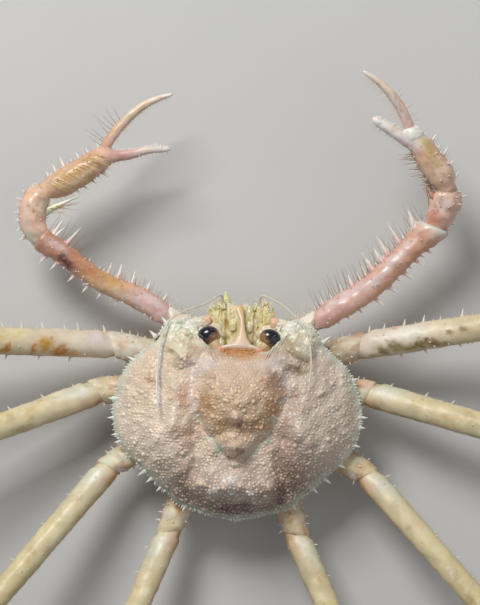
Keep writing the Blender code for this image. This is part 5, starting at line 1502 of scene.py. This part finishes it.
def build_claw_leg(side):
    """A claw leg: basis, merus, carpus, palm with its fixed finger, and the free finger."""
    stem = f"cheliped_{side}_"
    coat = Coat(f"claw coat {side}", 5)
    build_basis(side, 0, "claw", stem + "basis", coat)
    draw = random.Random(f"claw {side}")
    loose = random.Random(f"claw blotches {side}")
    spine_tints = CLAW_TINTS[side]
    for number, (kind, knots) in enumerate(CLAW_PIECES[side].items()):
        line = spline(knots, 6)
        slim = np.clip((np.linspace(0.0, 1.0, len(line)) - FINGER_STARTS.get(kind, 1.0)) / 0.1, 0.0, 1.0)
        line[:, 3] *= 1 - FINGER_SLIMMING * slim
        limb = Limb(line, side, CLAW_STARTS[kind], CLAW_ENDS.get((side, kind), BLUNT_END), back=HIDDEN_END,
                    rough=0.06 if kind == "carpus" else 0.04,
                    slants=CLAW_SLANTS.get((side, kind), (0.0, 0.0)))
        runs = CLAW_RUNS[side][kind]
        marks = blotches(limb, loose, CLAW_BLOTCH_RANGES, CLAW_BLOTCHES * (1 + int(limb.length / 12)))
        tints = coloured(limb, runs, CLAW_UNDER, (*marks, *CLAW_MARKS[side][kind]))
        shape = Shape()
        add_limb(shape, limb, tints, list(runs.values())[-1] if kind in ("merus", "carpus") else None)
        if (side, kind) in CLAW_LOBES:
            blob(shape, *CLAW_LOBES[side, kind], rough=0.05, seed=70, rows=26, around=30)
        for degrees, lean, row in CLAW_SPINES[side].get(kind, ()):
            for share, height in row.items():
                dressed_spine(shape, limb, share, degrees, height, lean, spine_tints)
                dressed_spine(shape, limb, share + draw.uniform(0.02, 0.05), degrees + draw.uniform(-25, 25),
                              min(height * draw.uniform(*SMALL_SPINE), 1.6), lean, spine_tints)
        for root, tip, radius, ends in LONE_SPINES[side].get(kind, ()):
            way = np.subtract(tip, root)
            spike(shape, root, way, np.linalg.norm(way), radius, *ends)
        if kind in TEETH:
            degrees, first, last = TEETH[kind]
            for share in np.linspace(first, last, TEETH_COUNT):
                dressed_spine(shape, limb, share, degrees, TOOTH_HEIGHT, 0, (IVORY, SPINE_WHITE), stout=1.7)
        if kind != "finger":
            spinules(shape, limb, int(limb.length * 0.5), (0.2, 0.5), SPINULE_TINTS, draw)
            spinules(shape, limb, int(limb.length * 0.6), (0.3, 0.8), spine_tints, draw, (150.0, 210.0))
        coat.column = number + 1
        for first, last, degrees, count, length, lean, tint in CLAW_HAIRS[side][kind]:
            radius = LONG_HAIR_RADIUS if length > LONG_HAIR else HAIR_RADIUS
            coat.grow(limb, first, last, degrees, count, length, lean, tint, radius, 0.12)
        if (side, kind) == ("left", "palm"):
            coat.grow(limb, *SWEPT_HAIRS, 0, SWEPT_GOLD, LONG_HAIR_RADIUS, sweep=SWEPT_WAY)
        make_piece(f"{stem}{kind}_shell", shape, "claw_skin", "claw", stem + kind)
    make_piece(stem + "setae", coat.shape, "setae", "claw")


EYE_CENTRES = {"left": (-9.6, 24, 22.3), "right": (9.2, 23.8, 22.3)}
EYE_HALF_SIZES = (3.3, 2.7, 2.45)
EYE_TILT = 12.0
STALK_ROOT = (5.6, 18.6, 21.8)
STALK_TINT = (216, 192, 152)


def build_eye(side):
    """The dark eye, brown towards its stalk, and the stalk."""
    sign = SIDES[side]
    middle = np.array(EYE_CENTRES[side])
    heights = np.linspace(-1.0, 1.0, 33)[:, None]
    angles = circle(48)
    wide = np.sin(np.arccos(np.clip(heights, -0.999, 0.999)))
    ball = np.stack((np.cos(angles) * wide, np.sin(angles) * wide, heights + 0 * angles), axis=-1)
    near = (ball @ unit((-sign, -0.9, 0.0)) - 0.10) * 1.8 + 0.25 * wobble(ball, 0.5, 44)
    x, y, z = np.moveaxis(ball * EYE_HALF_SIZES, -1, 0)
    cosine, sine = math.cos(math.radians(EYE_TILT)), -sign * math.sin(math.radians(EYE_TILT))
    ball = np.stack((x * cosine - y * sine, x * sine + y * cosine, z), axis=-1) + middle
    shape = Shape()
    shape.add_rings(ball, towards(EYE_BLACK, EYE_BROWN, near))
    make_piece(f"eye_{side}_ball", shape, "eye_cornea", "eye", f"eye_{side}")
    root = np.multiply(STALK_ROOT, (sign, 1, 1))
    knots = ((*root, 1.5), (*(root * 0.35 + middle * 0.65), 1.7))
    stalk = Shape()
    stalk.add_rings(Limb(knots, side, step=0.3, rough=0.08).rings, STALK_TINT)
    make_piece(f"eye_{side}_stalk", stalk, "claw_skin", "eye")


MAXILLIPED_LINE = (
    (4.9, 17, 12.4, 4.2), (5.5, 24, 12.4, 4.6), (5.9, 29.6, 12.8, 4), (5.6, 33, 13.4, 2.4),
    (5.2, 34.4, 13.8, 0.9),
)
MOUTH_SPINES = (
    ((6.8, 29, 13.6), (9.6, 35, 15.4)), ((6, 30, 13.6), (7.4, 36.2, 15.6)),
    ((7.6, 27, 13.4), (11.2, 32.4, 14.8)), ((5, 30, 13.6), (4.6, 36, 15.6)),
    ((4, 29.4, 13.6), (2.4, 34.6, 15.4)), ((6.4, 26, 14), (9.4, 29, 17)),
)
# A pale green lobe in front of the left mouthpart
LEAF_LOBE = ((-3.8, 29.6, 13.6, 0.9), (-4.46, 34.28, 14.68, 1.35), (-4.9, 37.4, 15.4, 0.3))
MAXILLIPED_FLATNESS = 0.78
MOUTH_LOBES = 60
MOUTH_LOBE_HALF = np.array((0.9, 1.2, 0.4))
# Setae of the outer mouthparts: share from and to, degrees, count, length, lean, colour
MOUTH_HAIRS = ((0.4, 0.98, 90, 40, 2.4, 55, HAIR_PALE), (0.5, 0.98, 0, 20, 2.2, 55, GOLD))
PEDUNCLE_LINE = ((3.9, 17, 17.6, 0.9), (4.2, 24, 17.4, 0.8), (5.4, 33, 17.2, 0.45))
FLAGELLUM_LINES = {
    "left": (
        (-6.4, 36.2, 19, 0.3), (-10.6, 33.6, 21, 0.26), (-17.5, 30.8, 23.4, 0.26),
        (-21.8, 27.6, 24.6, 0.27), (-24, 20.4, 27, 0.3), (-24.4, 10, 31, 0.3), (-23.6, 0.6, 34.2, 0.22),
    ),
    "right": (
        (6.4, 36.4, 19, 0.3), (11.3, 34.6, 20.6, 0.25), (15.2, 31.8, 22.4, 0.23), (18.6, 28.6, 24, 0.22),
        (21, 23, 27, 0.2), (21.6, 17, 30.6, 0.18), (21.2, 11, 33.4, 0.15),
    ),
}


def build_mouth(side):
    """One outer mouthpart with its lobes, spines and setae."""
    mirror = (SIDES[side], 1, 1, 1)
    knots = spline(MAXILLIPED_LINE, 6) * mirror
    limb = Limb(knots, side, rough=0.08)
    level = knots[0, 2]
    limb.rings[..., 2] = level + (limb.rings[..., 2] - level) * MAXILLIPED_FLATNESS
    runs = {0.0: BELLY, 0.4: MOUTH_YELLOW, 1.0: MOUTH_GREEN}
    shape = Shape()
    add_limb(shape, limb, coloured(limb, runs, (178, 150, 84)))
    draw = random.Random(f"mouth {side}")
    for _ in range(MOUTH_LOBES):
        root = limb.place(draw.uniform(0.3, 0.95), draw.uniform(0, 360))[0]
        root[2] = level + (root[2] - level) * MAXILLIPED_FLATNESS
        tint = towards(MOUTH_LOBE, MOUTH_YELLOW, np.array(draw.random()))
        blob(shape, root, MOUTH_LOBE_HALF * draw.uniform(0.6, 1.3), tint, rough=0.1, seed=50)
    for root, tip in MOUTH_SPINES * np.array(mirror[:3]):
        way = tip - root
        spike(shape, root + way * 0.3, way, np.linalg.norm(way) * 0.7, 0.5, MOUTH_YELLOW, SPINE_WHITE)
    if side == "left":
        shape.add_rings(Limb(LEAF_LOBE, side, step=0.4, rough=0.1).rings, (232, 234, 176))
    make_piece(f"maxilliped_{side}_shell", shape, "mouth_skin", "mouthparts", f"maxilliped_{side}")
    coat = Coat(f"mouth coat {side}", 1)
    for row in MOUTH_HAIRS:
        coat.grow(limb, *row, bend=0.4)
    make_piece(f"maxilliped_{side}_setae", coat.shape, "setae", "mouthparts")


FEELER_PALE = (206, 192, 158)
FEELER_WHITE = (232, 230, 224)
FEELER_STEP = 0.28
FEELER_JOINTS = (7.0, 13.0)   # where its base is jointed
FEELER_FADE = 60.0            # how far out it has turned white
FEELER_RINGS = 1.1            # how far apart the rings of its thread are


def build_feeler(side):
    """A feeler: thick base of three segments and a ringed thread."""
    peduncle = np.multiply(PEDUNCLE_LINE, (SIDES[side], 1, 1, 1))
    line = evenly(spline([*peduncle, *FLAGELLUM_LINES[side]], 10), FEELER_STEP)
    limb = Limb(line, side, step=FEELER_STEP)
    reached = (limb.shares * limb.length)[:, None]
    ringed = 1 + 0.10 * np.sin(reached * math.tau / FEELER_RINGS)
    ringed *= 1 - 0.3 * sum(bell(reached - joint, 0.5) for joint in FEELER_JOINTS)
    centres = limb.centres[:, None]
    rings = centres + (limb.rings - centres) * ringed[..., None]
    shape = Shape()
    shape.add_rings(rings[:, ::4], towards(FEELER_PALE, FEELER_WHITE, reached / FEELER_FADE))
    make_piece(f"antenna_{side}_thread", shape, "feeler_skin", "feeler", f"antenna_{side}")


# The body: height and share of the shell's reach; the tail flap: y, z, half width
THORAX_SECTIONS = (
    (8, 0.03), (8, 0.2), (8, 0.38), (8, 0.52), (8.4, 0.6), (11, 0.78), (13, 0.83), (15, 0.87), (18.6, 0.88),
    (18.6, 0.03),
)
SHELL_HALF_WIDTH = 38.0
MOUTH_FRONT = 20.0
BELLY_TOP = 12.0              # the grooves run lower than this
GROOVE_DEPTH = 0.9
STERNUM_TURNS = (0.15, 0.75, -0.55, -1.1)
PLEON_SECTIONS = (
    (-30.2, 17.4, 6), (-29.3, 14, 7.5), (-26, 9.4, 9), (-20.8, 6.9, 10.5), (-14, 6.1, 11), (-5, 6.1, 9.2),
    (3, 6.1, 6), (8, 6.1, 3), (9.6, 6.1, 1.2),
)
PLEON_SEGMENTS = 7
PLEON_STEP = 0.4
PLEON_SIDES = 48
PLEON_THICKNESS = 1.05
PLEON_SPINULES = 170


def build_body():
    """The body under the shell, grooved between the limbs, and the jointed tail flap."""
    turns = circle(240) - math.pi
    scale = (1.0, SHELL_HALF_WIDTH)
    height, share = (evenly(np.multiply(THORAX_SECTIONS, scale), 1.1) / scale).T[..., None]
    reach = reach_at(turns, RIM) * share
    x, y = np.cos(turns) * reach, np.sin(turns) * reach
    rings = np.stack((x, np.minimum(y, MOUTH_FRONT), height + 0 * x), axis=-1)
    sideways = np.arctan2(rings[..., 1], np.abs(x))
    grooves = np.minimum(sum(bell(sideways - turn, 0.05) for turn in STERNUM_TURNS), 1.0)
    low = rings[..., 2] < BELLY_TOP
    rings[..., 2] += np.where(low, GROOVE_DEPTH * grooves + 0.15 * wobble(rings, 4.0, 60) + 0.15, 0.0)
    shape = Shape()
    shape.add_rings(rings, towards(BELLY, LEG_BROWN, 0.8 * grooves * low))
    make_piece("thorax_shell", shape, "belly_skin", "underside", "thorax")

    line = evenly(spline(PLEON_SECTIONS, 8), PLEON_STEP)
    marks = np.linspace(0.0, PLEON_SEGMENTS, len(line))
    seams = bell(np.abs(marks - np.round(marks)) * len(line) * PLEON_STEP / PLEON_SEGMENTS, 0.45)[:, None]
    ahead, up = unit(np.gradient(line[:, :2], axis=0)).T[..., None]
    y, z, half = line.T[..., None]
    angles = circle(PLEON_SIDES)
    cosines = np.cos(angles)
    thick = PLEON_THICKNESS * (1 - 0.35 * seams) * np.sin(angles) * (1 + 0.25 * np.abs(cosines))
    wide = half * (1 - 0.04 * seams) * np.sign(cosines) * np.abs(cosines) ** 0.8
    rings = np.stack((wide, y - up * thick, z + ahead * thick), axis=-1)
    tints = towards(BELLY, LEG_BROWN, 0.7 * seams + 0 * thick)
    tints = towards(tints, (206, 172, 144), (rings[..., 2] - 10.0) / 6.0)
    tints = tints * (1 + 0.06 * wobble(rings, 2.6, 62))[..., None]
    flap = Shape()
    flap.add_rings(rings, tints)
    draw = random.Random("tail flap")
    for _ in range(PLEON_SPINULES):
        row, column = draw.randrange(1, 44), draw.randrange(PLEON_SIDES)
        root = rings[row, column]
        way = (root - rings[row].mean(axis=0)) * (0.2, 1.0, 1.0)
        spike(flap, root, way, draw.uniform(0.25, 0.5), 0.3, tints[row, column], PEARL, blunt=0.3)
    make_piece("pleon_plates", flap, "belly_skin", "underside", "pleon")


def build_floor():
    """A plain pale floor."""
    skin = Skin("floor_paper")
    colour = skin.shade((208, 208, 207), 60.0, 0.97, 1.0)
    skin.fill(skin.shader, {"Base Color": colour, "Roughness": 0.85})
    skin.bumps([(skin.noise(0.6), 0.02, 0.3)])
    bpy.ops.mesh.primitive_plane_add(size=6.0, location=(0.0, 0.0, 0.0))
    floor = bpy.context.object
    floor.name = "floor"
    floor.data.materials.append(skin.material)


def add_light(name, place, aim, size, power, colour):
    """A soft square light, aimed at a point."""
    light = bpy.data.lights.new(name, "AREA")
    light.size = size
    light.energy = power
    light.color = colour
    lamp = bpy.data.objects.new(name, light)
    lamp.location = place
    lamp.rotation_euler = (Vector(aim) - Vector(place)).to_track_quat("-Z", "Y").to_euler()
    bpy.context.scene.collection.objects.link(lamp)


# Lights: place from the middle of the crab, size, power, colour
LIGHTS = {
    "key": ((-0.3, 0.52, 0.62), 0.32, 5.9, (1, 0.985, 0.96)),
    "fill": ((0.5, -0.1, 0.7), 0.8, 1.1, (1, 1, 1)),
}
SKY_COLOUR = (0.94, 0.97, 1, 1)
SKY_STRENGTH = 0.18
CAMERA_LENS = 117.4
CAMERA_SENSOR = 36.0
CAMERA_PLACE = (-0.4, 34.2, 622)
CAMERA_TURN = 2.2


def light_scene():
    """Soft studio light from above, with the photo's look down on the crab."""
    scene = bpy.context.scene
    scene.world = bpy.data.worlds.new("studio")
    scene.world.use_nodes = True
    sky = scene.world.node_tree.nodes["Background"].inputs
    sky["Color"].default_value = SKY_COLOUR
    sky["Strength"].default_value = SKY_STRENGTH
    scene.view_settings.view_transform = "Standard"
    middle = ORIGIN + np.array((0.0, 20.0, 20.0)) * MM
    for name, (away, *settings) in LIGHTS.items():
        add_light(name, middle + away, middle, *settings)
    camera = bpy.data.cameras.new("camera")
    camera.lens = CAMERA_LENS
    camera.sensor_width = CAMERA_SENSOR
    eye = bpy.data.objects.new("camera", camera)
    eye.location = ORIGIN + np.array(CAMERA_PLACE) * MM
    eye.rotation_euler = (0.0, 0.0, math.radians(CAMERA_TURN))
    scene.collection.objects.link(eye)
    scene.camera = eye


def build():
    """The whole crab, its floor, lights and camera."""
    build_shell()
    build_body()
    build_mouth_mass()
    for side in SIDES:
        build_eye(side)
        build_mouth(side)
        build_feeler(side)
        build_claw_leg(side)
        for index in range(4):
            build_leg(side, index)
    build_floor()
    light_scene()


build()
